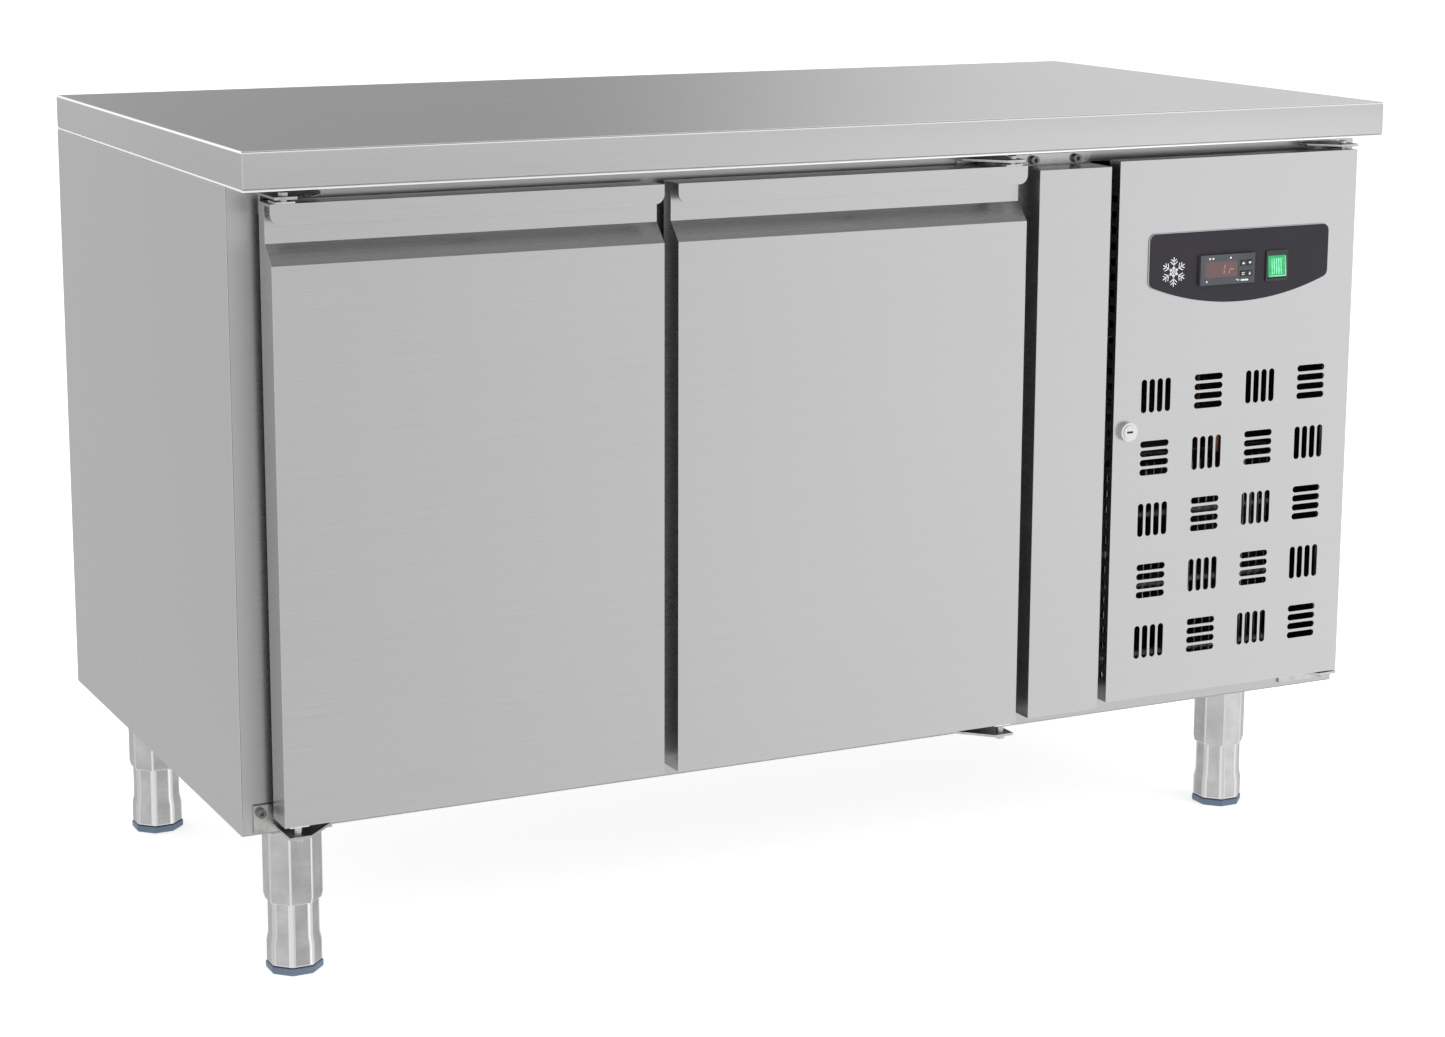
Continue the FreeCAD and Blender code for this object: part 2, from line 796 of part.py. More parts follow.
def make_door_skin(side):
    """Folded steel skin with a lip handle along its top over a recess, open at the back."""
    x = DOORS[side]
    owner = body(f"{side}_skin_body", (x, "0", "0"))
    front, recess, slope_foot = door_profile("0")
    lip_back = f"({DOOR_FRONT} + lip_sheet)"
    section = [
        (DOOR_BACK, "door_bottom"),
        (front, "door_bottom"),
        (front, slope_foot),
        (recess, "door_top - recess_top_gap"),
        (recess, "door_top - lip_sheet"),
        (lip_back, "door_top - lip_sheet"),
        (lip_back, "door_top - lip_drop"),
        (front, "door_top - lip_drop"),
        (front, "door_top"),
        (DOOR_BACK, "door_top"),
    ]
    pad(owner, f"{side}_skin_pad", outline(owner, f"{side}_skin_section", "YZ_Plane", section),
        "door_width")
    core = door_core(owner, f"{side}_skin_core", f"{DOOR_BACK} + 1", "sheet")
    pocket(owner, f"{side}_skin_hollow", core, "door_width - 2 * sheet", reverse=True)
    corners = new_sketch(owner, f"{side}_lip_corners", "XZ_Plane", f"-({DOOR_FRONT} - 1)")
    add_lip_corners(corners)
    pocket(owner, f"{side}_lip_rounds", corners, "lip_sheet + 2")
    return cut(f"{side}_skin_drilled", owner, bush_holes(side, f"{side}_skin"))


def add_lip_corners(sketch):
    """The two waste pieces outside the rounded lower corners of the lip."""
    low = value("door_top - lip_drop")
    radius = value("lip_radius")
    for edge, inward in ((0.0, 1), (value("door_width"), -1)):
        centre = Vector(edge + inward * radius, low + radius, 0)
        side = Vector(edge, low + radius, 0)
        bottom = Vector(edge + inward * radius, low, 0)
        middle = centre + Vector(-inward, -1, 0) * radius * math.sqrt(0.5)
        sketch.addGeometry(Part.Arc(side, middle, bottom))
        far_side = side + Vector(-inward, 0, 0)
        far_low = Vector(edge - inward, low - 1, 0)
        far_bottom = bottom + Vector(0, -1, 0)
        for start, end in (
            (bottom, far_bottom), (far_bottom, far_low), (far_low, far_side), (far_side, side)
        ):
            sketch.addGeometry(Part.LineSegment(start, end))


def door_core(owner, name, back, wall):
    """The section of the space inside the skin, up to a given back plane."""
    front, recess, slope_foot = door_profile(wall)
    section = [
        (back, f"door_bottom + {wall}"),
        (front, f"door_bottom + {wall}"),
        (front, f"{slope_foot} - {wall} / 2"),
        (recess, f"door_top - recess_top_gap - {wall} / 2"),
        (recess, f"door_top - {wall}"),
        (back, f"door_top - {wall}"),
    ]
    return outline(owner, name, "YZ_Plane", section, wall)


def bush_holes(side, name):
    reach = "bush_length + 1"
    x = DOOR_PIN_X[side]
    return [
        rod(f"{name}_low_hole", (x, PIN_Y, "door_bottom - 1"), "bush_radius", reach),
        rod(f"{name}_high_hole", (x, PIN_Y, "door_top - bush_length"), "bush_radius", reach),
    ]


def make_door_bushes(side):
    """A flanged bush in the door's bottom and one in its top, each with a bore for its pin."""
    x = DOOR_PIN_X[side]
    bushes = []
    for end, flange_at, sleeve_at in (
        ("low", "door_bottom - bush_flange", "door_bottom"),
        ("high", "door_top", "door_top - bush_length"),
    ):
        flange = rod(f"{side}_{end}_flange", (x, PIN_Y, flange_at), "bush_radius",
                     "bush_flange")
        strip = block(
            f"{side}_{end}_strip",
            (f"{x} - bush_strip_half", f"{x} + bush_strip_half"),
            (f"{PIN_Y} - bush_radius", f"{PIN_Y} + bush_strip_reach"),
            (flange_at, f"{flange_at} + bush_flange"),
        )
        sleeve = rod(f"{side}_{end}_sleeve", (x, PIN_Y, sleeve_at), "bush_radius", "bush_length")
        solid = fuse(f"{side}_{end}_bush_solid", [flange, strip, sleeve])
        bore = rod(f"{side}_{end}_bore", (x, PIN_Y, f"{sleeve_at} - 2 * bush_flange"),
                   "pin_radius + running_gap", "bush_length + 4 * bush_flange")
        bushes.append(cut(f"{side}_{end}_bush", solid, [bore]))
    node(f"{side}_door_bushes", group(f"{side}_bush_set", bushes))


def make_door_liner(side):
    """Inner panel across the back of the skin, with a hollow bulge inside the gasket."""
    x = (f"{DOORS[side]} + sheet", f"{DOORS[side]} + door_width - sheet")
    z = ("door_bottom + sheet", "door_top - sheet")
    t = "liner_sheet"
    flat = block(f"{side}_liner_flat", x, (f"{DOOR_BACK} - {t}", DOOR_BACK), z)
    inset = "bulge_inset"
    bulge = block(
        f"{side}_liner_bulge",
        (f"{x[0]} + {inset}", f"{x[1]} - {inset}"),
        (DOOR_BACK, f"{DOOR_BACK} + bulge_depth"),
        (f"{z[0]} + {inset}", f"{z[1]} - {inset}"),
    )
    solid = fuse(f"{side}_liner_solid", [flat, bulge])
    hollow = block(
        f"{side}_liner_hollow",
        (f"{x[0]} + {inset} + {t}", f"{x[1]} - {inset} - {t}"),
        (f"{DOOR_BACK} - 2 * {t}", f"{DOOR_BACK} + bulge_depth - {t}"),
        (f"{z[0]} + {inset} + {t}", f"{z[1]} - {inset} - {t}"),
    )
    node(f"{side}_door_liner", cut(f"{side}_liner_pan", solid, [hollow]))


def make_door_foam(side):
    owner = body(f"{side}_foam_body", (DOORS[side], "0", "0"))
    section = door_core(owner, f"{side}_foam_section", f"{DOOR_BACK} - liner_sheet", "sheet")
    pad(owner, f"{side}_foam_pad", section, "door_width - 2 * sheet")
    node(f"{side}_door_foam", cut(f"{side}_foam_drilled", owner, bush_holes(side, f"{side}_foam")))


def make_gasket(side):
    """Magnetic gasket: a square ring that meets the cabinet's face."""
    edge = DOORS[side]
    y = (DOOR_BACK, f"{FACE} - gasket_gap")

    def ring(name, inset, y_span):
        return block(
            name,
            (f"{edge} + {inset}", f"{edge} + door_width - {inset}"),
            y_span,
            (f"door_bottom + {inset}", f"door_top - {inset}"),
        )

    outer = ring(f"{side}_gasket_outer", "gasket_inset", y)
    inner = ring(f"{side}_gasket_inner", "(gasket_inset + gasket_width)", (f"{y[0]} - 1", FACE))
    node(f"{side}_door_gasket", cut(f"{side}_gasket_ring", outer, [inner]))


def make_doors():
    for side in DOORS:
        node(f"{side}_door_skin", make_door_skin(side))
        make_door_liner(side)
        make_door_foam(side)
        make_gasket(side)
        make_door_bushes(side)


# ---------------------------------------------------------------- hinge brackets


def drilled(name, solid, x, y, radius, low, high):
    return cut(name, solid, [rod(f"{name}_hole", (x, y, low), radius, f"({high}) - ({low})")])


def make_tongue(name, x, out, low, sizes):
    """Level plate with a narrow nose at the pin and a slanted edge away from the corner."""
    side, nose, slant, front, rear = sizes
    inboard = f"({x} - {out} * ({nose} + {slant}))"
    corners = [
        (f"{x} + {out} * {side}", front),
        (f"{x} - {out} * {nose}", front),
        (inboard, f"{front} + {slant}"),
        (inboard, rear),
        (f"{x} + {out} * {side}", rear),
    ]
    owner = body(f"{name}_body")
    pad(owner, f"{name}_pad", outline(owner, f"{name}_outline", "XY_Plane", corners, low),
        "plate")
    return owner


def make_door_brackets():
    """Angle brackets on the cabinet's face that hold the door pins from above and below."""
    brackets = []
    rear = f"({FACE} - plate)"
    sizes = ("tongue_side", "tongue_nose", "tongue_slant", f"{PIN_Y} - tongue_proud", rear)
    foot = "leg_height + ear_foot"
    for side, out in (("left", -1), ("right", 1)):
        x = DOOR_PIN_X[side]
        outer = f"({x} + {out} * tongue_side)"
        inner = f"({x} - {out} * (tongue_nose + tongue_slant))"
        span = sorted((outer, inner), key=value)
        for end in ("top", "bottom"):
            low = "tongue_top - plate" if end == "top" else "tongue_bottom"
            ear_z = ("tongue_top - ear_height", "tongue_top") if end == "top" else (
                foot, "tongue_bottom + low_ear_height")
            parts = [
                make_tongue(f"{side}_{end}_tongue", x, out, low, sizes),
                block(f"{side}_{end}_ear", span, (rear, FACE), ear_z),
            ]
            if end == "bottom" and side == "left":
                parts.append(block("left_bottom_tab", (f"{x} - tab_reach", outer), (rear, FACE),
                                   (foot, "tongue_bottom + tab_height")))
            if end == "top" and side == "right":
                parts.append(block("right_top_arm", (outer, f"{x} + arm_reach"), (rear, FACE),
                                   ("pillar_top + arm_gap", "tongue_top")))
            solid = fuse(f"{side}_{end}_solid", parts)
            brackets.append(drilled(f"{side}_{end}_bracket", solid, x, PIN_Y, "pin_radius",
                                    f"{low} - 1", f"{low} + plate + 1"))
    node("door_hinge_brackets", group("door_bracket_set", brackets))


def make_service_brackets():
    """Angle brackets on the machine compartment's front that hold the service panel's pins."""
    brackets = []
    x, y = SERVICE_PIN_X, SERVICE_PIN_Y
    rear = f"({FACE} - plate)"
    sizes = ("service_tongue_side", "service_nose", "service_slant", f"{y} - service_nose", rear)
    over, under = "(service_top + service_gap)", "(service_bottom - service_gap)"
    for end, low, ear_z in (
        ("top", over, (over, f"{over} + service_ear")),
        ("bottom", f"({under} - plate)", ("leg_height + service_low_ear", under)),
    ):
        tongue = make_tongue(f"service_{end}_tongue", x, 1, low, sizes)
        ear = block(f"service_{end}_ear",
                    (f"{x} - service_nose - service_slant", f"{x} + service_tongue_side"),
                    (rear, FACE), ear_z)
        solid = fuse(f"service_{end}_solid", [tongue, ear])
        brackets.append(drilled(f"service_{end}_bracket", solid, x, y, "service_pin_radius",
                                f"{low} - 1", f"{low} + plate + 1"))
    node("service_hinge_brackets", group("service_bracket_set", brackets))


def make_pins():
    """Door pins and service panel pins, each with a hexagonal head outside its bracket."""
    pins = []
    places = [
        (side, DOOR_PIN_X[side], PIN_Y, "pin_radius", "tongue_top", "tongue_bottom",
         "door_top - pin_reach", "door_bottom + pin_reach", "pin_head_radius")
        for side in DOORS
    ]
    places.append(("service", SERVICE_PIN_X, SERVICE_PIN_Y, "service_pin_radius",
                   "(service_top + service_gap + plate)", "(service_bottom - service_gap - plate)",
                   "service_top - service_pin_reach", "service_bottom + service_pin_reach",
                   "service_head_radius"))
    for name, x, y, radius, top, bottom, high_tip, low_tip, head in places:
        upper = rod(f"{name}_upper_pin", (x, y, high_tip), radius, f"{top} - ({high_tip})")
        upper_head = prism(f"{name}_upper_head", (x, y, top), 6, head, "pin_head_height")
        lower = rod(f"{name}_lower_pin", (x, y, bottom), radius, f"{low_tip} - ({bottom})")
        lower_head = prism(f"{name}_lower_head", (x, y, f"{bottom} - pin_head_height"), 6, head,
                           "pin_head_height")
        pins.append(fuse(f"{name}_pin_above", [upper, upper_head]))
        pins.append(fuse(f"{name}_pin_below", [lower, lower_head]))
    node("hinge_pins", group("pin_set", pins))


def make_screws():
    """Socket-head screws through the brackets into the cabinet's front."""
    left, right = DOOR_PIN_X["left"], DOOR_PIN_X["right"]
    places = [
        (f"{right} + arm_screw_first", "pillar_top + arm_screw_height"),
        (f"{right} + arm_screw_last", "pillar_top + arm_screw_height"),
        (f"{left} + ear_screw_across", "tongue_top - ear_screw_drop"),
        (f"{left} - tab_screw_across", "tongue_bottom + tab_screw_height"),
        (f"{left} + ear_screw_across", "leg_height + ear_screw_height"),
        (f"{right} - ear_screw_across", "leg_height + ear_screw_height"),
    ]
    screws = []
    seat = f"({FACE} - plate)"
    head_front = f"({seat} - screw_head_height)"
    for index, (x, z) in enumerate(places):
        head = rod(f"screw_{index}_head", (x, head_front, z), "screw_head_radius",
                   "screw_head_height", "Y")
        shank = rod(f"screw_{index}_shank", (x, seat, z), "screw_radius", "screw_length", "Y")
        solid = fuse(f"screw_{index}_solid", [head, shank])
        socket = prism(f"screw_{index}_socket", (x, f"{head_front} - 1", z), 6,
                       "screw_socket_radius", "screw_socket_depth + 1", "Y")
        screws.append(cut(f"screw_{index}", solid, [socket]))
    node("bracket_screws", group("screw_set", screws))


# ---------------------------------------------------------------- service panel


def vent_slot(owner, name, middle, height, upright):
    """A round-ended slot, drawn upright or lying down, with its radius tied to the sheet."""
    sketch = new_sketch(owner, name, "XZ_Plane")
    radius = value("vent_width / 2")
    reach = value("vent_length / 2") - radius
    centre = Vector(value(middle), value(height), 0)
    along = Vector(0, 1, 0) if upright else Vector(1, 0, 0)
    across = Vector(1, 0, 0) if upright else Vector(0, 1, 0)
    ends = []
    for sign in (1, -1):
        tip = centre + along * sign * reach
        first, last = tip + across * sign * radius, tip - across * sign * radius
        sketch.addGeometry(Part.Arc(first, tip + along * sign * radius, last))
        ends.append((first, last))
    sketch.addGeometry(Part.LineSegment(ends[0][1], ends[1][0]))
    sketch.addGeometry(Part.LineSegment(ends[1][1], ends[0][0]))
    constrain(sketch, "Radius", 0, "vent_width / 2")
    constrain(sketch, "Radius", 1, "vent_width / 2")
    return sketch


def vent_field(owner, name, column, row, upright, columns, rows):
    """Groups of four slots on every other place of the vent grid."""
    half_group = "(vent_pitch * 1.5)"
    x = f"vent_first + vent_group_pitch * {column}"
    z = f"service_bottom + vent_lowest + vent_group_pitch * {row}"
    start = (f"{x} - {half_group}", z) if upright else (x, f"{z} - {half_group}")
    sketch = vent_slot(owner, f"{name}_slot", *start, upright)
    doc.recompute()
    first = pocket(owner, f"{name}_first", sketch, "sheet + 1", reverse=False)
    doc.recompute()
    before = owner.Shape.Volume
    grid = owner.newObject("PartDesign::MultiTransform", f"{name}_grid")
    grid.Originals = [first]
    steps = (
        ("H_Axis" if upright else "V_Axis", 4, "vent_pitch"),
        ("H_Axis", columns, "vent_group_pitch * 2"),
        ("V_Axis", rows, "vent_group_pitch * 2"),
    )
    lines = []
    for index, (axis, count, pitch) in enumerate(steps):
        line = owner.newObject("PartDesign::LinearPattern", f"{name}_line{index}")
        line.Direction = (sketch, [axis])
        line.Occurrences = count
        line.setExpression("Length", bound(f"({pitch}) * {count - 1}"))
        lines.append(line)
    grid.Transformations = lines
    owner.Tip = grid
    doc.recompute()
    if not owner.Shape.Volume < before:
        raise RuntimeError(f"{name} takes nothing away")


def make_service_panel():
    """Vented steel tray, hinged at its right edge, with holes down its left flange."""
    owner = body("service_body", ("service_left", DOOR_FRONT, "0"))
    z = ("service_bottom", "service_top")
    tray = outline(owner, "service_outline", "XZ_Plane", rectangle(("0", "service_width"), z))
    pad(owner, "service_block", tray, "service_depth", reverse=True)
    inside = outline(
        owner, "service_inside", "XZ_Plane",
        rectangle(("sheet", "service_width - sheet"), (f"{z[0]} + sheet", f"{z[1]} - sheet")),
        "-sheet",
    )
    pocket(owner, "service_hollow", inside, "service_depth")
    cutouts = {
        "housing": ("controller_middle", "housing_width", "housing_height"),
        "switch": ("switch_middle", SWITCH_CASE_WIDTH, SWITCH_CASE_HEIGHT),
    }
    for name, (middle, width, height) in cutouts.items():
        x = f"({middle} - service_left)"
        opening = outline(
            owner, f"service_{name}_outline", "XZ_Plane",
            rectangle(
                (f"{x} - ({width}) / 2", f"{x} + ({width}) / 2"),
                (f"controls_height - ({height}) / 2", f"controls_height + ({height}) / 2"),
            ),
        )
        pocket(owner, f"service_{name}_opening", opening, "sheet + 1")
    vent_field(owner, "upright_even", 0, 0, True, 2, 3)
    vent_field(owner, "upright_odd", 1, 1, True, 2, 2)
    vent_field(owner, "level_even", 1, 0, False, 2, 3)
    vent_field(owner, "level_odd", 0, 1, False, 2, 2)
    drill_service_panel(owner)


def drill_service_panel(owner):
    """The row of square holes down the left flange, the lock hole and the two pin holes."""
    z_low = "service_bottom + edge_hole_lowest"
    near = f"{DOOR_FRONT} + edge_hole_setback"
    holes = []
    for index in range(int(value("edge_hole_count"))):
        low = f"{z_low} + edge_hole_pitch * {index}"
        holes.append(
            block(
                f"edge_hole_{index}",
                ("service_left - 1", "service_left + sheet + 1"),
                (near, f"{near} + edge_hole_depth"),
                (low, f"{low} + edge_hole"),
            )
        )
    lock = rod("service_lock_hole", ("service_left + lock_across", f"{DOOR_FRONT} - 1",
                                     "lock_height"), "lock_shank_radius", "sheet + 2", "Y")
    gap = "service_pin_radius + running_gap"
    pin_holes = [
        rod(f"service_{end}_pin_hole", (SERVICE_PIN_X, SERVICE_PIN_Y, low), gap, "sheet + 2")
        for end, low in (("low", "service_bottom - 1"), ("high", "service_top - sheet - 1"))
    ]
    node("service_panel", cut("service_cover", owner, holes + [lock] + pin_holes))


# ---------------------------------------------------------------- controls and lock


def control_box(name, middle, width, height, y, drop="0"):
    """A box centred across and up on one of the controls."""
    z = f"controls_height - ({drop})"
    return block(
        name,
        (f"{middle} - ({width}) / 2", f"{middle} + ({width}) / 2"),
        y,
        (f"{z} - ({height}) / 2", f"{z} + ({height}) / 2"),
    )


def make_fascia():
    """Thin plate with rounded corners and a bowed lower edge."""
    owner = body("fascia_body", ("fascia_left", DOOR_FRONT, "0"))
    sketch = new_sketch(owner, "fascia_outline", "XZ_Plane")
    width, top = value("fascia_width"), value("fascia_top")
    low = value("fascia_top - fascia_side")
    bow = Vector(width / 2, low - value("fascia_bow"), 0)
    sketch.addGeometry(Part.LineSegment(Vector(0, low, 0), Vector(0, top, 0)))
    sketch.addGeometry(Part.LineSegment(Vector(0, top, 0), Vector(width, top, 0)))
    sketch.addGeometry(Part.LineSegment(Vector(width, top, 0), Vector(width, low, 0)))
    sketch.addGeometry(Part.Arc(Vector(width, low, 0), bow, Vector(0, low, 0)))
    blank = pad(owner, "fascia_plate", sketch, "fascia_sheet")
    doc.recompute()
    fillet = owner.newObject("PartDesign::Fillet", "fascia_corners")
    corners = [f"Edge{index}" for index, edge in enumerate(blank.Shape.Edges, 1)
               if edge.BoundBox.YLength > edge.BoundBox.XLength + edge.BoundBox.ZLength]
    fillet.Base = (blank, corners)
    fillet.setExpression("Radius", bound("fascia_radius"))
    owner.Tip = fillet
    y = (f"{DOOR_FRONT} - fascia_sheet - 1", f"{DOOR_FRONT} + 1")
    openings = [
        control_box("fascia_housing_opening", "controller_middle", "housing_width",
                    "housing_height", y),
        control_box("fascia_switch_opening", "switch_middle", SWITCH_CASE_WIDTH,
                    SWITCH_CASE_HEIGHT, y),
    ]
    node("control_fascia", cut("fascia", owner, openings))


def make_controller():
    """Housing with a bezel over the fascia, a recessed screen and four keys in wells."""
    plate_front = f"({DOOR_FRONT} - fascia_sheet)"
    front = f"({plate_front} - bezel_proud)"
    x = "controller_middle"
    bezel = control_box("controller_bezel", x, "bezel_width", "bezel_height", (front, plate_front))
    case = control_box("controller_case", x, "housing_width", "housing_height",
                       (plate_front, f"{plate_front} + housing_depth"))
    solid = fuse("controller_solid", [bezel, case])
    screen_x = f"({x} + screen_middle)"
    window = control_box("screen_window", screen_x, "screen_width", "screen_height",
                         (f"{front} - 1", f"{front} + screen_depth"))
    screen = control_box("screen", screen_x, "screen_width", "screen_height",
                         (f"{front} + screen_sunk", f"{front} + screen_depth"))
    keys = {"up": (0, 1), "down": (1, 1), "set": (0, -1), "defrost": (1, -1)}
    wells = [window]
    for name, (column, row) in keys.items():
        key_x = f"({x} + key_first + key_pitch_across * {column})"
        drop = f"-key_pitch_up / 2 * {row}"
        wells.append(control_box(f"{name}_well", key_x, "key_width + 2 * key_gap",
                                 "key_height + 2 * key_gap",
                                 (f"{front} - 1", f"{front} + key_depth"), drop))
        key = control_box(f"{name}_cap", key_x, "key_width", "key_height",
                          (f"{front} - key_proud", f"{front} + key_depth - key_travel - key_gap"),
                          drop)
        node(f"{name}_key", key)
    node("controller_housing", cut("controller", solid, wells))
    node("controller_screen", screen)


def make_switch():
    """Square switch frame with a rocker that turns about a level axis."""
    plate_front = f"({DOOR_FRONT} - fascia_sheet)"
    front = f"({plate_front} - switch_proud)"
    x = "switch_middle"
    rim = control_box("switch_rim", x, "switch_width", "switch_height", (front, plate_front))
    case = control_box("switch_case", x, SWITCH_CASE_WIDTH, SWITCH_CASE_HEIGHT,
                       (plate_front, f"{plate_front} + switch_depth"))
    well = control_box("switch_well", x, "rocker_size + 2 * rocker_side_gap",
                       "rocker_size + 2 * rocker_end_gap",
                       (f"{front} - 1", f"{front} + switch_well"), "rocker_drop")
    solid = fuse("switch_solid", [rim, case])
    z = "controls_height - rocker_drop"
    reach = "rocker_pivot_reach"
    bearing = rod("switch_bearing", (f"{x} - {reach} - running_gap", DOOR_FRONT, z),
                  "rocker_pivot_radius + running_gap", f"2 * ({reach} + running_gap)", "X")
    node("switch_frame", cut("switch", solid, [well, bearing]))
    owner = body("rocker_body", (x, DOOR_FRONT, z))
    half, deep = "rocker_size / 2", "rocker_depth / 2"
    side = outline(owner, "rocker_side", "YZ_Plane",
                   rectangle((f"-{deep}", deep), (f"-{half}", half)), f"-{half}")
    pad(owner, "rocker_block", side, "rocker_size")
    owner.Placement.Rotation = Rotation(Vector(1, 0, 0), -value("rocker_tilt"))
    pivot = rod("rocker_pivot", (f"{x} - {reach}", DOOR_FRONT, z), "rocker_pivot_radius",
                f"2 * {reach}", "X")
    node("switch_rocker", fuse("rocker", [owner, pivot]))


def make_lock():
    """Lock body through the panel, with a barrel that carries a cam behind the panel."""
    x, z = "service_left + lock_across", "lock_height"
    front = f"({DOOR_FRONT} - lock_proud)"
    cam_y = f"({DOOR_FRONT} + service_depth + cam_gap)"
    face = rod("lock_face", (x, front, z), "lock_radius", "lock_proud", "Y")
    shank = rod("lock_shank", (x, DOOR_FRONT, z), "lock_shank_radius", "service_depth - 1", "Y")
    bore = rod("lock_bore", (x, f"{front} - 1", z), "barrel_radius + running_gap",
               "lock_proud + service_depth + 2", "Y")
    node("lock_body", cut("lock_case", fuse("lock_solid", [face, shank]), [bore]))
    barrel = rod("barrel_rod", (x, FRONT, z), "barrel_radius", f"{cam_y} - {FRONT}", "Y")
    cam = block("barrel_cam", (f"{x} - cam_width / 2", f"{x} + cam_width / 2"),
                (cam_y, f"{cam_y} + cam_sheet"), (f"{z} - cam_length", f"{z} + barrel_radius"))
    slot = block("key_slot", (f"{x} - key_slot_length / 2", f"{x} + key_slot_length / 2"),
                 (f"{FRONT} - 1", f"{FRONT} + key_slot_depth"),
                 (f"{z} - key_slot_width / 2", f"{z} + key_slot_width / 2"))
    node("lock_barrel", cut("barrel", fuse("barrel_solid", [barrel, cam]), [slot]))


# ---------------------------------------------------------------- shelves


def make_pilaster(name, x, y):
    """Upright strip with a ladder of slots for the shelf runners."""
    span = (f"{y} - pilaster_width / 2", f"{y} + pilaster_width / 2")
    strip = block(f"{name}_strip", (x, f"{x} + pilaster_depth"), span,
                  ("room_floor", "room_ceiling"))
    slots = []
    for index in range(int(value("pilaster_slots"))):
        low = f"room_floor + pilaster_slot_first + pilaster_slot_pitch * {index}"
        slots.append(block(f"{name}_slot_{index}", (f"{x} - 1", f"{x} + pilaster_depth + 1"),
                           (f"{y} - pilaster_slot_width / 2", f"{y} + pilaster_slot_width / 2"),
                           (low, f"{low} + pilaster_slot_height")))
    return cut(name, strip, slots)


def make_runner(name, x, inward):
    """Angle along the side of a bay with a ledge that carries the shelf's edge."""
    ledge_top = "(shelf_height - rim_wire_radius)"
    y = ("shelf_front - runner_past_shelf", "shelf_front + shelf_depth + runner_past_shelf")
    ledge_x = sorted((x, f"{x} + {inward} * runner_ledge"), key=value)
    web_x = sorted((x, f"{x} + {inward} * sheet"), key=value)
    ledge = block(f"{name}_ledge", ledge_x, y, (f"{ledge_top} - sheet", ledge_top))
    web = block(f"{name}_web", web_x, y, (f"{ledge_top} - runner_web", ledge_top))
    return fuse(name, [ledge, web])


def make_wire_shelf(side, middle):
    """Rim of thick wire with thinner wires across it, front to back."""
    half = "(shelf_width / 2 - rim_wire_radius)"
    y_ends = ("shelf_front + rim_wire_radius", "shelf_front + shelf_depth - rim_wire_radius")
    z = "shelf_height"
    long_run = f"({y_ends[1]}) - ({y_ends[0]})"
    wires = [
        rod(f"{side}_rim_{sign}", (f"{middle} + {sign} * {half}", y_ends[0], z),
            "rim_wire_radius", long_run, "Y")
        for sign in (-1, 1)
    ]
    for index, y in enumerate((y_ends[0], "shelf_front + shelf_depth / 2", y_ends[1])):
        wires.append(rod(f"{side}_bar_{index}", (f"{middle} - {half}", y, z),
                         "rim_wire_radius", f"2 * {half}", "X"))
    count = int(value("shelf_wires"))
    for index in range(count):
        x = f"{middle} - {half} + 2 * {half} * {index + 1} / {count + 1}"
        wires.append(rod(f"{side}_wire_{index}", (x, y_ends[0], f"{z} + rim_wire_radius"),
                         "wire_radius", long_run, "Y"))
    node(f"{side}_wire_shelf", fuse(f"{side}_shelf_wires", wires))


def make_shelves():
    pilasters, runners = [], []
    for side, (low, high) in OPENING_X.items():
        middle = f"(({low} + {high}) / 2)"
        reach = f"({middle} - left_door_edge - door_width / 2)"
        near = f"(room_left + {reach})"
        far = f"({middle} * 2 - {near})"
        for end, y in (("front", "shelf_front + pilaster_front"),
                       ("back", "shelf_front + shelf_depth - pilaster_back")):
            pilasters.append(make_pilaster(f"{side}_{end}_near_pilaster", near, y))
            pilasters.append(make_pilaster(f"{side}_{end}_far_pilaster",
                                           f"{far} - pilaster_depth", y))
        runners.append(make_runner(f"{side}_near_runner", f"({near} + pilaster_depth)", 1))
        runners.append(make_runner(f"{side}_far_runner", f"({far} - pilaster_depth)", -1))
        make_wire_shelf(side, middle)
    node("pilasters", group("pilaster_set", pilasters))
    node("shelf_runners", group("runner_set", runners))


# ---------------------------------------------------------------- refrigeration


def make_coil(name, along, x, y, z, fins, rows, columns):
    """Stack of thin fins on straight tubes. The tubes run along one axis of the block."""
    spans = {"X": x, "Y": y, "Z": z}
    low, high = spans[along]
    parts = []
    for index in range(fins):
        start = f"{low} + ({high} - {low} - fin_sheet) * {index} / {fins - 1}"
        fin = dict(spans)
        fin[along] = (start, f"{start} + fin_sheet")
        parts.append(block(f"{name}_fin_{index}", fin["X"], fin["Y"], fin["Z"]))
    across = "Y" if along == "X" else "X"
    for row in range(rows):
        for column in range(columns):
            at = {
                along: f"{low} - coil_tube_end",
                across: f"{spans[across][0]} + ({spans[across][1]} - {spans[across][0]}) "
                        f"* {2 * column + 1} / {2 * columns}",
                "Z": f"{z[0]} + ({z[1]} - {z[0]}) * {2 * row + 1} / {2 * rows}",
            }
            parts.append(rod(f"{name}_tube_{row}_{column}", (at["X"], at["Y"], at["Z"]),
                             "coil_tube_radius", f"{high} - {low} + 2 * coil_tube_end", along))
    return fuse(name, parts)


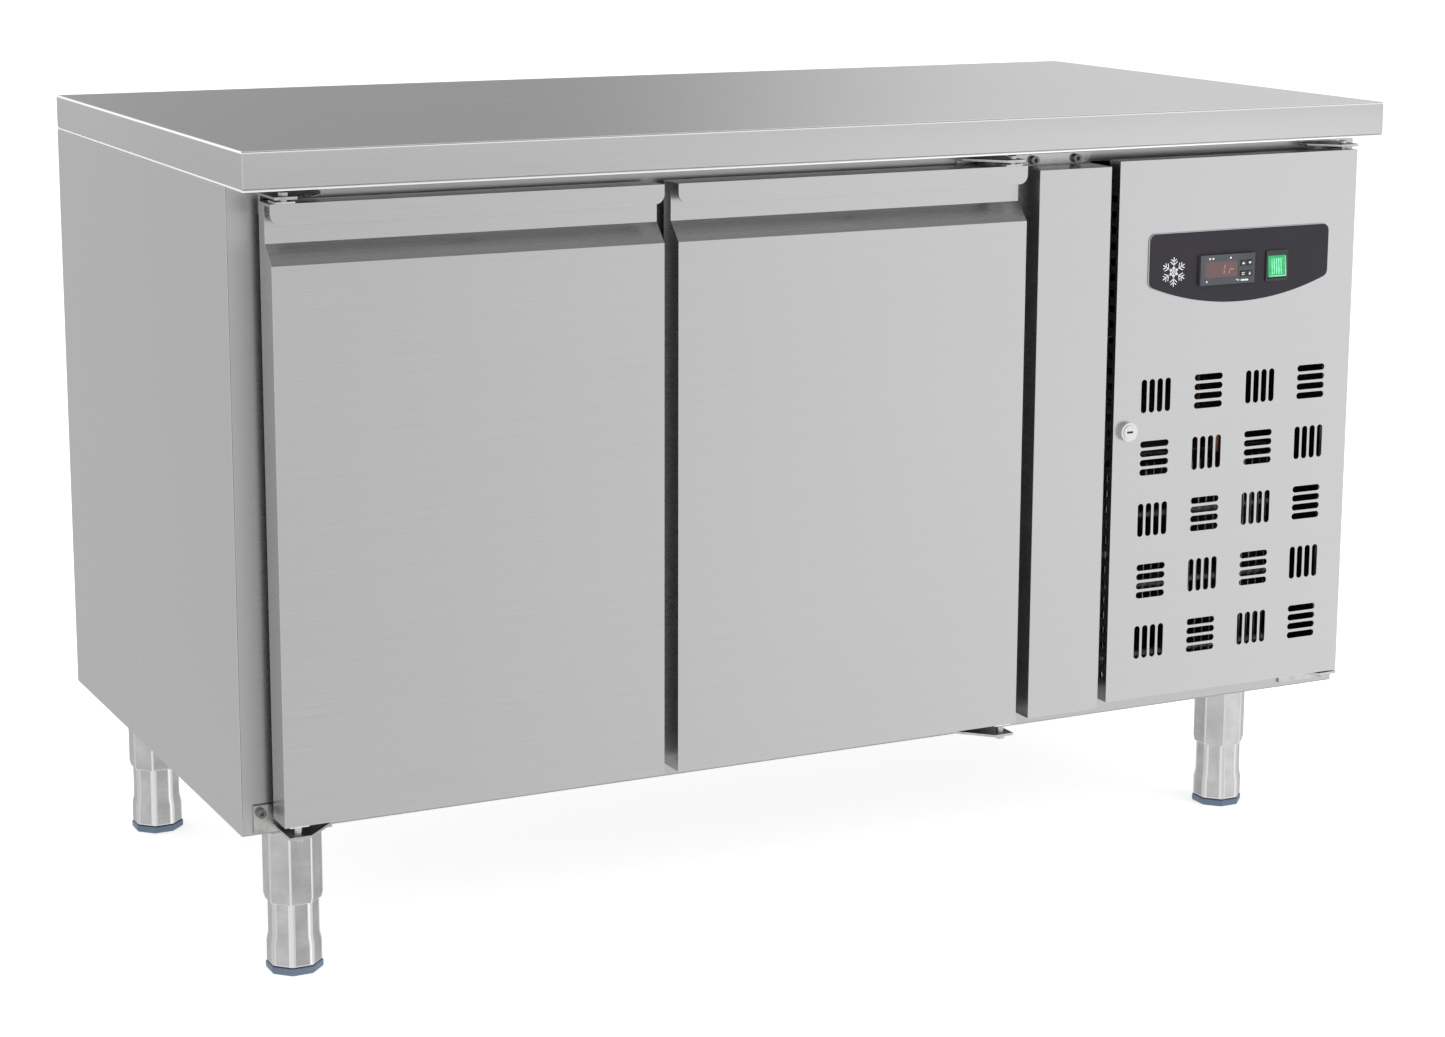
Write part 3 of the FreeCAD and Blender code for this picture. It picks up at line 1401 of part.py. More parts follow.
def make_fan(name, at, axis, radius):
    """Five pitched blades round a hub, turning about one axis."""
    owner = body(f"{name}_blades", at)
    pitch = "fan_width / 2"
    blade = outline(
        owner, f"{name}_blade_section", "YZ_Plane",
        [
            (f"-{pitch}", "0"), (f"-{pitch} + 2 * blade_sheet", "0"),
            (pitch, "fan_width"), (f"{pitch} - 2 * blade_sheet", "fan_width"),
        ],
        "hub_radius / 2",
    )
    first = pad(owner, f"{name}_first_blade", blade, f"{radius} - hub_radius / 2")
    doc.recompute()
    ring = owner.newObject("PartDesign::PolarPattern", f"{name}_ring")
    ring.Originals = [first]
    ring.Axis = (next(f for f in owner.Origin.OriginFeatures if f.Role == "Z_Axis"), [""])
    ring.Angle = 360
    ring.Occurrences = FAN_BLADES
    owner.Tip = ring
    owner.Placement.Rotation = ALONG[axis]
    hub = rod(f"{name}_hub", at, "hub_radius", "fan_width", axis)
    return fuse(name, [owner, hub])


def make_evaporator():
    """Cooling coil and fan in the duct beside the right bay, behind a vented cover."""
    cover_x = ("evaporator_wall", "evaporator_wall + sheet")
    cover_y = (f"{FRAME_BACK} + plug_depth + liner_sheet", "room_back")
    sheet = block("cover_sheet", cover_x, cover_y, ("opening_bottom", "opening_top"))
    fan_y = f"(({cover_y[0]} + {cover_y[1]}) / 2)"
    fan_z = "evaporator_fan_height"
    holes = [rod("cover_fan_opening", (f"{cover_x[0]} - 1", fan_y, fan_z),
                 "fan_radius + fan_opening_gap", "sheet + 2", "X")]
    for row in range(COVER_SLOT_ROWS):
        for column in range(COVER_SLOT_COLUMNS):
            y = f"{fan_y} + cover_slot_across * {column - COVER_SLOT_COLUMNS // 2}"
            z = f"opening_bottom + cover_slot_lowest + cover_slot_pitch * {row}"
            holes.append(block(f"cover_slot_{row}_{column}",
                               (f"{cover_x[0]} - 1", f"{cover_x[1]} + 1"),
                               (f"{y} - cover_slot_length / 2", f"{y} + cover_slot_length / 2"),
                               (z, f"{z} + vent_width")))
    node("evaporator_cover", cut("cover", sheet, holes))
    y = (f"({fan_y} - evaporator_length / 2)", f"({fan_y} + evaporator_length / 2)")
    x = (f"({EVAPORATOR_X} - evaporator_depth / 2)", f"({EVAPORATOR_X} + evaporator_depth / 2)")
    z = ("evaporator_bottom", "(evaporator_bottom + evaporator_height)")
    fins = int(value("evaporator_fins"))
    node("evaporator_coil", make_coil("evaporator", "Y", x, y, z, fins, 5, 2))
    blade_x = "evaporator_wall + sheet + fan_clearance"
    node("evaporator_fan_blade", make_fan("evaporator_fan", (blade_x, fan_y, fan_z), "X",
                                          "fan_radius"))
    motor_x = f"({blade_x} + fan_width + motor_gap)"
    motor = rod("evaporator_motor_case", (motor_x, fan_y, fan_z), "motor_radius",
                "motor_length", "X")
    strut = block("evaporator_motor_strut",
                  (f"{motor_x} + motor_length - strut_sheet", "room_right"),
                  (f"{fan_y} - strut_half_width", f"{fan_y} + strut_half_width"),
                  (f"{fan_z} - strut_half_height", f"{fan_z} + strut_half_height"))
    node("evaporator_fan_motor", fuse("evaporator_motor", [motor, strut]))


def make_condenser():
    """Finned condenser behind the vents, with a shroud, a fan and its motor behind it."""
    x = ("condenser_left", "(condenser_left + condenser_width)")
    y = ("condenser_front", "(condenser_front + condenser_depth)")
    z = ("condenser_bottom", "(condenser_bottom + condenser_height)")
    tray_top = f"({SKIN_FLOOR} + sheet)"
    fins = int(value("condenser_fins"))
    coil = make_coil("condenser", "X", x, y, z, fins, 6, 2)
    feet = [
        block(f"condenser_foot_{index}", (low, f"{low} + fin_sheet"), y, (tray_top, z[0]))
        for index, low in enumerate((x[0], f"{x[1]} - fin_sheet"))
    ]
    node("condenser_coil", fuse("condenser_on_feet", [coil] + feet))
    fan_x, fan_z = f"(({x[0]} + {x[1]}) / 2)", f"(({z[0]} + {z[1]}) / 2)"
    back = f"({y[1]} + shroud_gap)"
    mouth_radius = "(condenser_fan_radius + shroud_ring_gap)"
    plate = block("shroud_plate", x, (back, f"{back} + sheet"), (tray_top, z[1]))
    ring = rod("shroud_ring", (fan_x, back, fan_z), f"{mouth_radius} + shroud_ring_wall",
               "shroud_ring", "Y")
    mouth = rod("shroud_mouth", (fan_x, f"{back} - 1", fan_z), mouth_radius, "shroud_ring + 2",
                "Y")
    node("condenser_shroud", cut("shroud", fuse("shroud_solid", [plate, ring]), [mouth]))
    blade_y = f"({back} + motor_gap)"
    node("condenser_fan_blade", make_fan("condenser_fan", (fan_x, blade_y, fan_z), "Y",
                                         "condenser_fan_radius"))
    motor_y = f"({blade_y} + fan_width + motor_gap)"
    motor = rod("condenser_motor_case", (fan_x, motor_y, fan_z), "motor_radius",
                "motor_length", "Y")
    post_y = f"({motor_y} + post_setback)"
    post = block("condenser_motor_post",
                 (f"{fan_x} - post_half_width", f"{fan_x} + post_half_width"),
                 (post_y, f"{post_y} + post_sheet"), (tray_top, fan_z))
    node("condenser_fan_motor", fuse("condenser_motor", [motor, post]))


def make_compressor():
    """Welded steel can with a domed top on a base plate with four rubber feet."""
    x, y = "compressor_x", "compressor_y"
    floor = f"({SKIN_FLOOR} + sheet)"
    plate_z = f"({floor} + tray_lift)"
    plate = block("compressor_plate",
                  (f"{x} - compressor_plate_x", f"{x} + compressor_plate_x"),
                  (f"{y} - compressor_plate_y", f"{y} + compressor_plate_y"),
                  (plate_z, f"{plate_z} + plate"))
    feet = [
        rod(f"compressor_foot_{a}_{b}",
            (f"{x} + {a} * compressor_foot_x", f"{y} + {b} * compressor_foot_y", floor),
            "compressor_foot_radius", "tray_lift")
        for a in (-1, 1) for b in (-1, 1)
    ]
    can_top = f"({plate_z} + compressor_height - compressor_radius / 2)"
    can = rod("compressor_can", (x, y, plate_z), "compressor_radius",
              f"{can_top} - {plate_z}")
    dome = doc.addObject("Part::Ellipsoid", "compressor_dome")
    dome.setExpression("Radius1", bound("compressor_radius / 2"))
    dome.setExpression("Radius2", bound("compressor_radius"))
    dome.Angle1 = 0
    place(dome, (x, y, can_top))
    node("compressor", fuse("compressor_solid", [plate, can, dome] + feet))


def make_gland_and_tray():
    """Drip tray under the machine parts, and the cable gland through it and the bottom panel."""
    floor = SKIN_FLOOR
    x = ("divider_face + tray_side_gap", f"{RIGHT} - sheet - tray_side_gap")
    y = (f"{FRAME_BACK} + tray_front_gap", f"{BACK} - sheet - tray_front_gap")
    tray = block("tray_block", x, y, (floor, f"{floor} + tray_rim"))
    hollow = block("tray_hollow", (f"{x[0]} + sheet", f"{x[1]} - sheet"),
                   (f"{y[0]} + sheet", f"{y[1]} - sheet"),
                   (f"{floor} + sheet", f"{floor} + tray_rim + 1"))
    spot = ("gland_x", "gland_y")
    gland_hole = rod("tray_gland_hole", (*spot, f"{floor} - sheet"), "gland_radius",
                     "3 * sheet")
    node("machine_tray", cut("tray", tray, [hollow, gland_hole]))
    foot = "leg_height - gland_drop"
    tube = rod("gland_tube", (*spot, foot), "gland_radius", "gland_length")
    nut = prism("gland_nut", (*spot, "leg_height - gland_nut_height"), 6, "gland_nut_radius",
                "gland_nut_height")
    bore = rod("gland_inside", (*spot, f"{foot} - 1"), "gland_bore", "gland_length + 2")
    node("cable_gland", cut("gland", fuse("gland_solid", [tube, nut]), [bore]))


def make_drier():
    """Upright can with a cone at each end."""
    spot = ("drier_x", "drier_y")
    parts = [rod("drier_can", (*spot, "drier_bottom"), "drier_radius", "drier_length")]
    for name, start, low, high in (
        ("below", "drier_bottom - drier_cap", "pipe_radius", "drier_radius"),
        ("above", "drier_bottom + drier_length", "drier_radius", "pipe_radius"),
    ):
        cap = doc.addObject("Part::Cone", f"drier_cap_{name}")
        cap.setExpression("Radius1", bound(low))
        cap.setExpression("Radius2", bound(high))
        cap.setExpression("Height", bound("drier_cap"))
        place(cap, (*spot, start))
        parts.append(cap)
    node("filter_drier", fuse("drier", parts))


def make_pipes():
    """Pipes between the compressor, the condenser, the drier and the divider wall."""
    can_top = f"({SKIN_FLOOR} + sheet + tray_lift + compressor_height)"
    inside_can = f"({can_top} - pipe_root)"
    drier = ("drier_x", "drier_y")
    coil_y = "(condenser_front + condenser_depth / 2)"
    outlet_y = "(condenser_front + condenser_depth * 3 / 4)"
    suction = ("compressor_x + suction_across", "compressor_y + suction_back")
    discharge = ("compressor_x + discharge_across", "compressor_y - discharge_front")
    coil_top = "condenser_bottom + condenser_height + 1"
    coil_end = "condenser_left + condenser_width + coil_tube_end + 1"
    routes = {
        "suction_pipe": [
            (*suction, inside_can),
            (*suction, "suction_height"),
            ("divider_face", suction[1], "suction_height"),
        ],
        "discharge_pipe": [
            (*discharge, inside_can),
            (*discharge, "discharge_height"),
            (discharge[0], coil_y, "discharge_height"),
            (discharge[0], coil_y, coil_top),
        ],
        "liquid_pipe": [
            (*drier, "drier_bottom + drier_length + drier_cap"),
            (*drier, "liquid_height"),
            ("divider_face", drier[1], "liquid_height"),
        ],
        "outlet_pipe": [
            (coil_end, outlet_y, "outlet_height"),
            (drier[0], outlet_y, "outlet_height"),
            (*drier, "outlet_height"),
            (*drier, "drier_bottom - drier_cap"),
        ],
    }
    pipes = [straight_pipe(name, route) for name, route in routes.items()]
    node("refrigerant_pipes", group("pipe_set", pipes))


def make_electrics():
    """Wiring box on the machine side of the divider."""
    spans = (
        ("divider_face", "divider_face + electrics_depth"),
        ("electrics_left", "electrics_left + electrics_width"),
        ("electrics_bottom", "electrics_bottom + electrics_height"),
    )
    wall = "electrics_wall"
    inner = [(f"{low} + {wall}", f"{high} - {wall}") for low, high in spans]
    case = block("electrics_case", *spans)
    node("electrical_box", cut("electrics", case, [block("electrics_hollow", *inner)]))


# ---------------------------------------------------------------- build and export


def check_document():
    """Stops if any object failed or any sub-part has no sound shape."""
    doc.recompute()
    for obj in doc.Objects:
        bad = {"Invalid", "Error"} & set(obj.State)
        if bad:
            raise RuntimeError(f"{obj.Name} is {sorted(bad)}")
    for obj in nodes:
        shape = obj.Shape
        if shape.isNull() or not shape.isValid() or not shape.Solids:
            raise RuntimeError(f"{obj.Label} has no valid solid")


def export_nodes():
    os.makedirs("parts", exist_ok=True)
    for obj in nodes:
        obj.Shape.exportStep(f"parts/{obj.Label}.step")
    print(f"{len(nodes)} sub-parts written")


make_worktop()
make_outer_panels()
make_front_frame()
make_cold_room()
make_pillar()
make_legs()
make_doors()
make_door_brackets()
make_service_brackets()
make_pins()
make_screws()
make_service_panel()
make_fascia()
make_controller()
make_switch()
make_lock()
make_shelves()
make_evaporator()
make_condenser()
make_compressor()
make_gland_and_tray()
make_drier()
make_pipes()
make_electrics()
check_document()
export_nodes()
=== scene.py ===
import json
import math

import bmesh
import bpy
from mathutils import Matrix, Vector


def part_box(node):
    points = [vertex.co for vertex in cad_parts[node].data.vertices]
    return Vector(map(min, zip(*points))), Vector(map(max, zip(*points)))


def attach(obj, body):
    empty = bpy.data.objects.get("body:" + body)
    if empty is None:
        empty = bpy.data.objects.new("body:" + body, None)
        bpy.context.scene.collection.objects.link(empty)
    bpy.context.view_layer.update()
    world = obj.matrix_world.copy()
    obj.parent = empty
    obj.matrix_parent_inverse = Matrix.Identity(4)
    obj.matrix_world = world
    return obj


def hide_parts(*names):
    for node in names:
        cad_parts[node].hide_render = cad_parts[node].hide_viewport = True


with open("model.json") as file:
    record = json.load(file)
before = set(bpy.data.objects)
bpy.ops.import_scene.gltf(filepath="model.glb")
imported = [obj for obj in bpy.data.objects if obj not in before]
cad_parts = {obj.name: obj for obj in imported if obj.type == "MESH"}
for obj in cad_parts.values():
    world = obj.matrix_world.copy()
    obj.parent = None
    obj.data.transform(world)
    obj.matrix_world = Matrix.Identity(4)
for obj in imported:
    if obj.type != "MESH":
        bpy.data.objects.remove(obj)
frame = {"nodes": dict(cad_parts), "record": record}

# A two-door undercounter refrigerator in brushed steel. Metres, +Z up, front towards -Y.

MM = 0.001
SHARP_EDGE = math.radians(28)  # an edge that turns by more than this is rounded
ROOM_SHARE = 0.36  # the most that a rounding takes of a narrow face beside it
ONE_WAY = 0.9  # a face looks along an axis if its normal has more than this along it
FILM = 0.08 * MM  # thickness of the printed marks
KEYS = ("up", "down", "set", "defrost")
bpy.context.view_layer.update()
nodes = frame["nodes"]
body_of_node = {n: body for body, members in frame["record"]["behaviour"]["bodies"].items()
                for n in members}


# ---------------------------------------------------------------- materials


class Shader:
    """Node tree of one material, with short calls for the nodes that are used most."""

    def __init__(self, name):
        self.material = bpy.data.materials.new(name)
        self.material.use_nodes = True
        self.tree = self.material.node_tree
        self.surface = self.tree.nodes["Principled BSDF"]
        self.place = self.add("ShaderNodeTexCoord").outputs["Object"]

    def add(self, kind, **settings):
        made = self.tree.nodes.new(kind)
        for key, setting in settings.items():
            setattr(made, key, setting)
        return made

    def link(self, source, target):
        self.tree.links.new(source, target)

    def stretched(self, scale, detail=3.0):
        """Noise whose grain is stretched by a scale for each axis."""
        mapping = self.add("ShaderNodeMapping")
        mapping.inputs["Scale"].default_value = scale
        self.link(self.place, mapping.inputs["Vector"])
        noise = self.add("ShaderNodeTexNoise")
        noise.inputs["Scale"].default_value = 1.0
        noise.inputs["Detail"].default_value = detail
        self.link(mapping.outputs["Vector"], noise.inputs["Vector"])
        return noise.outputs["Fac"]

    def span(self, source, low, high, start=0.3, end=0.7):
        """Maps a value to a range."""
        node = self.add("ShaderNodeMapRange")
        for name, number in (("From Min", start), ("From Max", end), ("To Min", low),
                             ("To Max", high)):
            node.inputs[name].default_value = number
        self.link(source, node.inputs["Value"])
        return node.outputs["Result"]

    def mixed(self, factor, first, second):
        """Mixes two colours, or two sockets, by a factor."""
        node = self.add("ShaderNodeMix", data_type="RGBA")
        self.link(factor, node.inputs["Factor"])
        for socket, colour in ((node.inputs[6], first), (node.inputs[7], second)):
            if isinstance(colour, bpy.types.NodeSocket):
                self.link(colour, socket)
            else:
                socket.default_value = (*colour, 1)
        return node.outputs[2]

    def chosen(self, factor, first, second):
        """Mixes two values by a factor."""
        node = self.add("ShaderNodeMix", data_type="FLOAT")
        self.link(factor, node.inputs["Factor"])
        self.link(first, node.inputs[2])
        self.link(second, node.inputs[3])
        return node.outputs[0]

    def lying_flat(self):
        """1 where a face looks up or down, and 0 where it stands."""
        parts = self.add("ShaderNodeSeparateXYZ")
        self.link(self.add("ShaderNodeTexCoord").outputs["Normal"], parts.inputs["Vector"])
        steep = self.add("ShaderNodeMath", operation="ABSOLUTE")
        self.link(parts.outputs["Z"], steep.inputs[0])
        return self.span(steep.outputs["Value"], 0, 1, 0.6, 0.8)

    def edge_wear_and_highlight(self, radius):
        """1 along sharp outer edges, broken up a little, and 0 elsewhere: where the colour is made
        paler, partly for wear and partly as a painted highlight.
        """
        bevel = self.add("ShaderNodeBevel", samples=4)
        bevel.inputs["Radius"].default_value = radius
        plain = self.add("ShaderNodeNewGeometry")
        likeness = self.add("ShaderNodeVectorMath", operation="DOT_PRODUCT")
        self.link(bevel.outputs["Normal"], likeness.inputs[0])
        self.link(plain.outputs["Normal"], likeness.inputs[1])
        worn_and_highlit = self.span(likeness.outputs["Value"], 1, 0, 0.86, 0.99)
        patches = self.span(self.stretched((60, 60, 60)), 0.35, 1)
        product = self.add("ShaderNodeMath", operation="MULTIPLY")
        self.link(worn_and_highlit, product.inputs[0])
        self.link(patches, product.inputs[1])
        return product.outputs["Value"]

    def bump(self, height, depth):
        node = self.add("ShaderNodeBump")
        node.inputs["Strength"].default_value = 1.0
        node.inputs["Distance"].default_value = depth
        self.link(height, node.inputs["Height"])
        self.link(node.outputs["Normal"], self.surface.inputs["Normal"])

    def set(self, **sockets):
        """Sets constants on the shader: set(Metallic=1) or set(Base_Color=(r, g, b, 1))."""
        for name, number in sockets.items():
            self.surface.inputs[name.replace("_", " ")].default_value = number


def brushed(name, dark, light, rough, across=2400.0, along=9.0, depth=0.004 * MM,
            anisotropy=0.45, upright=False, cloud_size=1.6, cloud_share=0.12):
    """Steel brushed along X on faces that lie flat, and level or upright on those that stand."""
    s = Shader(name)
    flat = s.lying_flat()
    standing = (across, across, along) if upright else (along, along, across)
    fine, long = 160, 1.5
    streaks = (fine, fine, long) if upright else (long, long, fine)
    grain = s.chosen(flat, s.stretched(standing), s.stretched((along, across, along)))
    broad = s.chosen(flat, s.stretched(streaks), s.stretched((long, fine, long)))
    cloud = s.stretched((cloud_size,) * 3, 2.0)
    clouded = tuple(c * 0.8 for c in dark)
    worn_and_highlit = tuple(min(1, c * 1.3) for c in light)
    tone = s.mixed(s.span(grain, 0, 1, 0.25, 0.75), dark, light)
    tone = s.mixed(s.span(broad, 0, 0.2), tone, light)
    tone = s.mixed(s.span(cloud, 0, cloud_share), tone, clouded)
    # Paler edges: partly wear, partly painted highlight.
    tone = s.mixed(s.edge_wear_and_highlight(1.0 * MM), tone, worn_and_highlit)
    s.link(tone, s.surface.inputs["Base Color"])
    low, high = rough
    s.link(s.span(grain, low, high), s.surface.inputs["Roughness"])
    s.bump(grain, depth)
    s.set(Metallic=1.0, Anisotropic=anisotropy)
    round_z = s.add("ShaderNodeTangent", direction_type="RADIAL", axis="Z")
    round_y = s.add("ShaderNodeTangent", direction_type="RADIAL", axis="Y")
    turned = s.add("ShaderNodeMix", data_type="VECTOR")
    s.link(flat, turned.inputs["Factor"])
    s.link(round_z.outputs["Tangent"], turned.inputs[4])
    s.link(round_y.outputs["Tangent"], turned.inputs[5])
    s.link(turned.outputs[1], s.surface.inputs["Tangent"])
    return s.material


def plain_metal(name, dark, light, rough):
    """Metal with fine mottling, slight roughness changes and paler edges, partly wear and partly
    painted highlight.
    """
    s = Shader(name)
    mottle = s.stretched((90, 90, 90), 4.0)
    worn_and_highlit = tuple(min(1, c * 1.25) for c in light)
    tone = s.mixed(s.span(mottle, 0, 1), dark, light)
    tone = s.mixed(s.edge_wear_and_highlight(0.7 * MM), tone, worn_and_highlit)
    s.link(tone, s.surface.inputs["Base Color"])
    s.link(s.span(mottle, *rough), s.surface.inputs["Roughness"])
    s.bump(mottle, 0.03 * MM)
    s.set(Metallic=1.0)
    return s.material


def galvanised(name):
    """Zinc-coated sheet with crystal spangles."""
    s = Shader(name)
    cells = s.add("ShaderNodeTexVoronoi")
    cells.inputs["Scale"].default_value = 190
    s.link(s.place, cells.inputs["Vector"])
    shade = s.add("ShaderNodeSeparateColor")
    s.link(cells.outputs["Color"], shade.inputs["Color"])
    tone = s.mixed(shade.outputs["Red"], (0.40, 0.405, 0.41), (0.46, 0.465, 0.47))
    tone = s.mixed(s.span(s.stretched((3, 3, 3), 4.0), 0, 0.3), tone, (0.35, 0.355, 0.36))
    s.link(tone, s.surface.inputs["Base Color"])
    s.link(s.span(shade.outputs["Green"], 0.38, 0.46, 0, 1), s.surface.inputs["Roughness"])
    s.bump(s.stretched((40, 40, 40)), 0.04 * MM)
    s.set(Metallic=1.0)
    return s.material


def plastic(name, dark, light, rough, scale=700, depth=0.02 * MM, coat=0.0, shine=0.5):
    """Moulded plastic or rubber with a fine texture and paler edges, partly rubbed wear and partly
    painted highlight.
    """
    s = Shader(name)
    texture = s.stretched((scale,) * 3, 2.0)
    cloud = s.stretched((18, 18, 18), 4.0)
    rubbed_and_highlit = tuple(min(1, c * 1.5 + 0.03) for c in light)
    tone = s.mixed(s.span(cloud, 0, 1), dark, light)
    tone = s.mixed(s.edge_wear_and_highlight(0.5 * MM), tone, rubbed_and_highlit)
    s.link(tone, s.surface.inputs["Base Color"])
    s.link(s.span(cloud, *rough), s.surface.inputs["Roughness"])
    s.bump(texture, depth)
    s.set(Coat_Weight=coat, Coat_Roughness=0.12, Specular_IOR_Level=shine)
    return s.material


def glowing(name, dark, light, strength, rough=0.25):
    """Lit plastic with a soft mottle in its glow."""
    s = Shader(name)
    cloud = s.stretched((220, 220, 220), 2.0)
    tone = s.mixed(s.span(cloud, 0, 1), dark, light)
    s.link(tone, s.surface.inputs["Base Color"])
    s.link(tone, s.surface.inputs["Emission Color"])
    s.link(s.span(cloud, rough, rough + 0.1), s.surface.inputs["Roughness"])
    s.set(Emission_Strength=strength)
    return s.material


materials = {
    "brushed_steel": brushed("brushed_steel", (0.490, 0.492, 0.496), (0.530, 0.532, 0.536),
                             (0.25, 0.31)),
    "polished_steel": brushed("polished_steel", (0.46, 0.46, 0.46), (0.54, 0.54, 0.54),
                              (0.13, 0.24), across=900.0, along=14.0, depth=0.002 * MM,
                              anisotropy=0.15, cloud_size=42, cloud_share=0.7),
    "liner_steel": brushed("liner_steel", (0.54, 0.545, 0.55), (0.62, 0.625, 0.63), (0.3, 0.4)),
    "galvanised_steel": galvanised("galvanised_steel"),
    "zinc_steel": plain_metal("zinc_steel", (0.40, 0.40, 0.39), (0.56, 0.56, 0.545), (0.2, 0.34)),
    "board": plastic("board", (0.42, 0.31, 0.20), (0.55, 0.43, 0.29), (0.7, 0.85), scale=300),
    "foam": plastic("foam", (0.72, 0.66, 0.48), (0.80, 0.74, 0.56), (0.8, 0.9),
                    scale=400, depth=0.2 * MM),
    "gasket_rubber": plastic("gasket_rubber", (0.010, 0.010, 0.011), (0.022, 0.022, 0.024),
                             (0.5, 0.65)),
    "white_plastic": plastic("white_plastic", (0.72, 0.73, 0.74), (0.82, 0.83, 0.84), (0.3, 0.42)),
    "grey_plastic": plastic("grey_plastic", (0.10, 0.14, 0.20), (0.15, 0.20, 0.28), (0.42, 0.56)),
    "black_plastic": plastic("black_plastic", (0.014, 0.014, 0.015), (0.026, 0.026, 0.028),
                             (0.3, 0.42)),
    "fascia_film": plastic("fascia_film", (0.016, 0.014, 0.019), (0.022, 0.019, 0.025),
                           (0.34, 0.42), scale=1500, depth=0.006 * MM, shine=0.28),
    "dark_screen": plastic("dark_screen", (0.045, 0.010, 0.012), (0.075, 0.016, 0.018),
                           (0.08, 0.14), scale=300, depth=0.002 * MM, coat=1.0),
    "green_rocker": glowing("green_rocker", (0.012, 0.24, 0.075), (0.03, 0.36, 0.13),
                            strength=0.35),
    "nickel": plain_metal("nickel", (0.54, 0.535, 0.52), (0.66, 0.655, 0.64), (0.14, 0.26)),
    "coated_wire": plastic("coated_wire", (0.62, 0.63, 0.64), (0.74, 0.75, 0.76), (0.3, 0.42)),
    "coil_aluminium": plain_metal("coil_aluminium", (0.42, 0.425, 0.43), (0.56, 0.565, 0.57),
                                  (0.26, 0.4)),
    "fan_aluminium": plain_metal("fan_aluminium", (0.45, 0.46, 0.47), (0.6, 0.61, 0.62),
                                 (0.25, 0.4)),
    "black_enamel": plastic("black_enamel", (0.008, 0.008, 0.009), (0.018, 0.018, 0.019),
                            (0.16, 0.3), scale=120, depth=0.05 * MM, coat=0.4),
    "copper": plain_metal("copper", (0.38, 0.18, 0.10), (0.58, 0.32, 0.20), (0.26, 0.42)),
}
# Finishes that no slot has: for marks, lenses and faces that are told apart, and paler or darker
# copies that paint highlights on edges and shade on faces.
print_white = plastic("print_white", (0.74, 0.75, 0.76), (0.84, 0.85, 0.86), (0.35, 0.45))
bezel_grey = plastic("bezel_grey", (0.040, 0.045, 0.052), (0.058, 0.064, 0.073), (0.35, 0.45))
key_black = plastic("key_black", (0.012, 0.013, 0.015), (0.022, 0.023, 0.026), (0.3, 0.4))
segment_red = glowing("segment_red", (0.42, 0.12, 0.11), (0.56, 0.2, 0.18), strength=0.12)
lens_green = glowing("lens_green", (0.10, 0.52, 0.26), (0.22, 0.66, 0.40), strength=0.35,
                     rough=0.12)
# Pale strips on two sides of the rocker: painted highlight on a clear cover's edges.
cover_edge_highlight = plastic("cover_edge_highlight", (0.30, 0.42, 0.36), (0.42, 0.54, 0.48), (0.1, 0.18))
# Black plate inside the lock's keyway: painted shadow.
keyway_shadow_black = plastic("keyway_shadow_black", (0.004, 0.004, 0.004), (0.008, 0.008, 0.008), (0.5, 0.6))
upright_steel = brushed("upright_steel", (0.490, 0.492, 0.496), (0.530, 0.532, 0.536),
                        (0.25, 0.31), upright=True)
# A darker copy of the brushed steel for the front frame: painted shade.
shaded_frame_steel = brushed("shaded_frame_steel", (0.445, 0.447, 0.45), (0.485, 0.487, 0.49), (0.27, 0.33))
# Paler, glossier steel on the roundings of the legs and feet: a painted highlight.
corner_highlight_steel = brushed("corner_highlight_steel", (0.66, 0.662, 0.666), (0.74, 0.742, 0.746), (0.14, 0.22))
shaded_zinc = plain_metal("shaded_zinc", (0.16, 0.16, 0.155), (0.26, 0.26, 0.25), (0.26, 0.4))
# Near-black steel on the panels' inner faces: painted shade inside the cabinet.
inner_shade_steel = plain_metal("inner_shade_steel", (0.09, 0.09, 0.09), (0.13, 0.13, 0.13), (0.5, 0.65))
# Near-black steel for the lock barrel behind the panel: painted shade.
barrel_shade_steel = plain_metal("barrel_shade_steel", (0.05, 0.05, 0.05), (0.09, 0.09, 0.09), (0.35, 0.5))
# Much paler, glossier steel on the worktop's bead and edge rounding: a painted highlight.
edge_highlight_steel = brushed("edge_highlight_steel", (0.86, 0.862, 0.866), (0.92, 0.922, 0.926),
                          (0.16, 0.22))
slot_of = {row["node"]: row["material_slot"] for row in frame["record"]["subparts"]}


# ---------------------------------------------------------------- mesh helpers


def new_piece(name, mesh_maker, body, material, stands_for=()):
    """Makes a piece from a bmesh that rides on a body and may stand for CAD nodes."""
    mesh = bpy.data.meshes.new(name)
    mesh_maker.normal_update()
    mesh_maker.to_mesh(mesh)
    mesh_maker.free()
    mesh.materials.append(material)
    piece = bpy.data.objects.new(name, mesh)
    bpy.context.scene.collection.objects.link(piece)
    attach(piece, body)
    if stands_for:
        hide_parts(*stands_for)
    return piece


def narrowest(face):
    """About how wide a face is across its longest edge."""
    return face.calc_area() / max(edge.calc_length() for edge in face.edges)


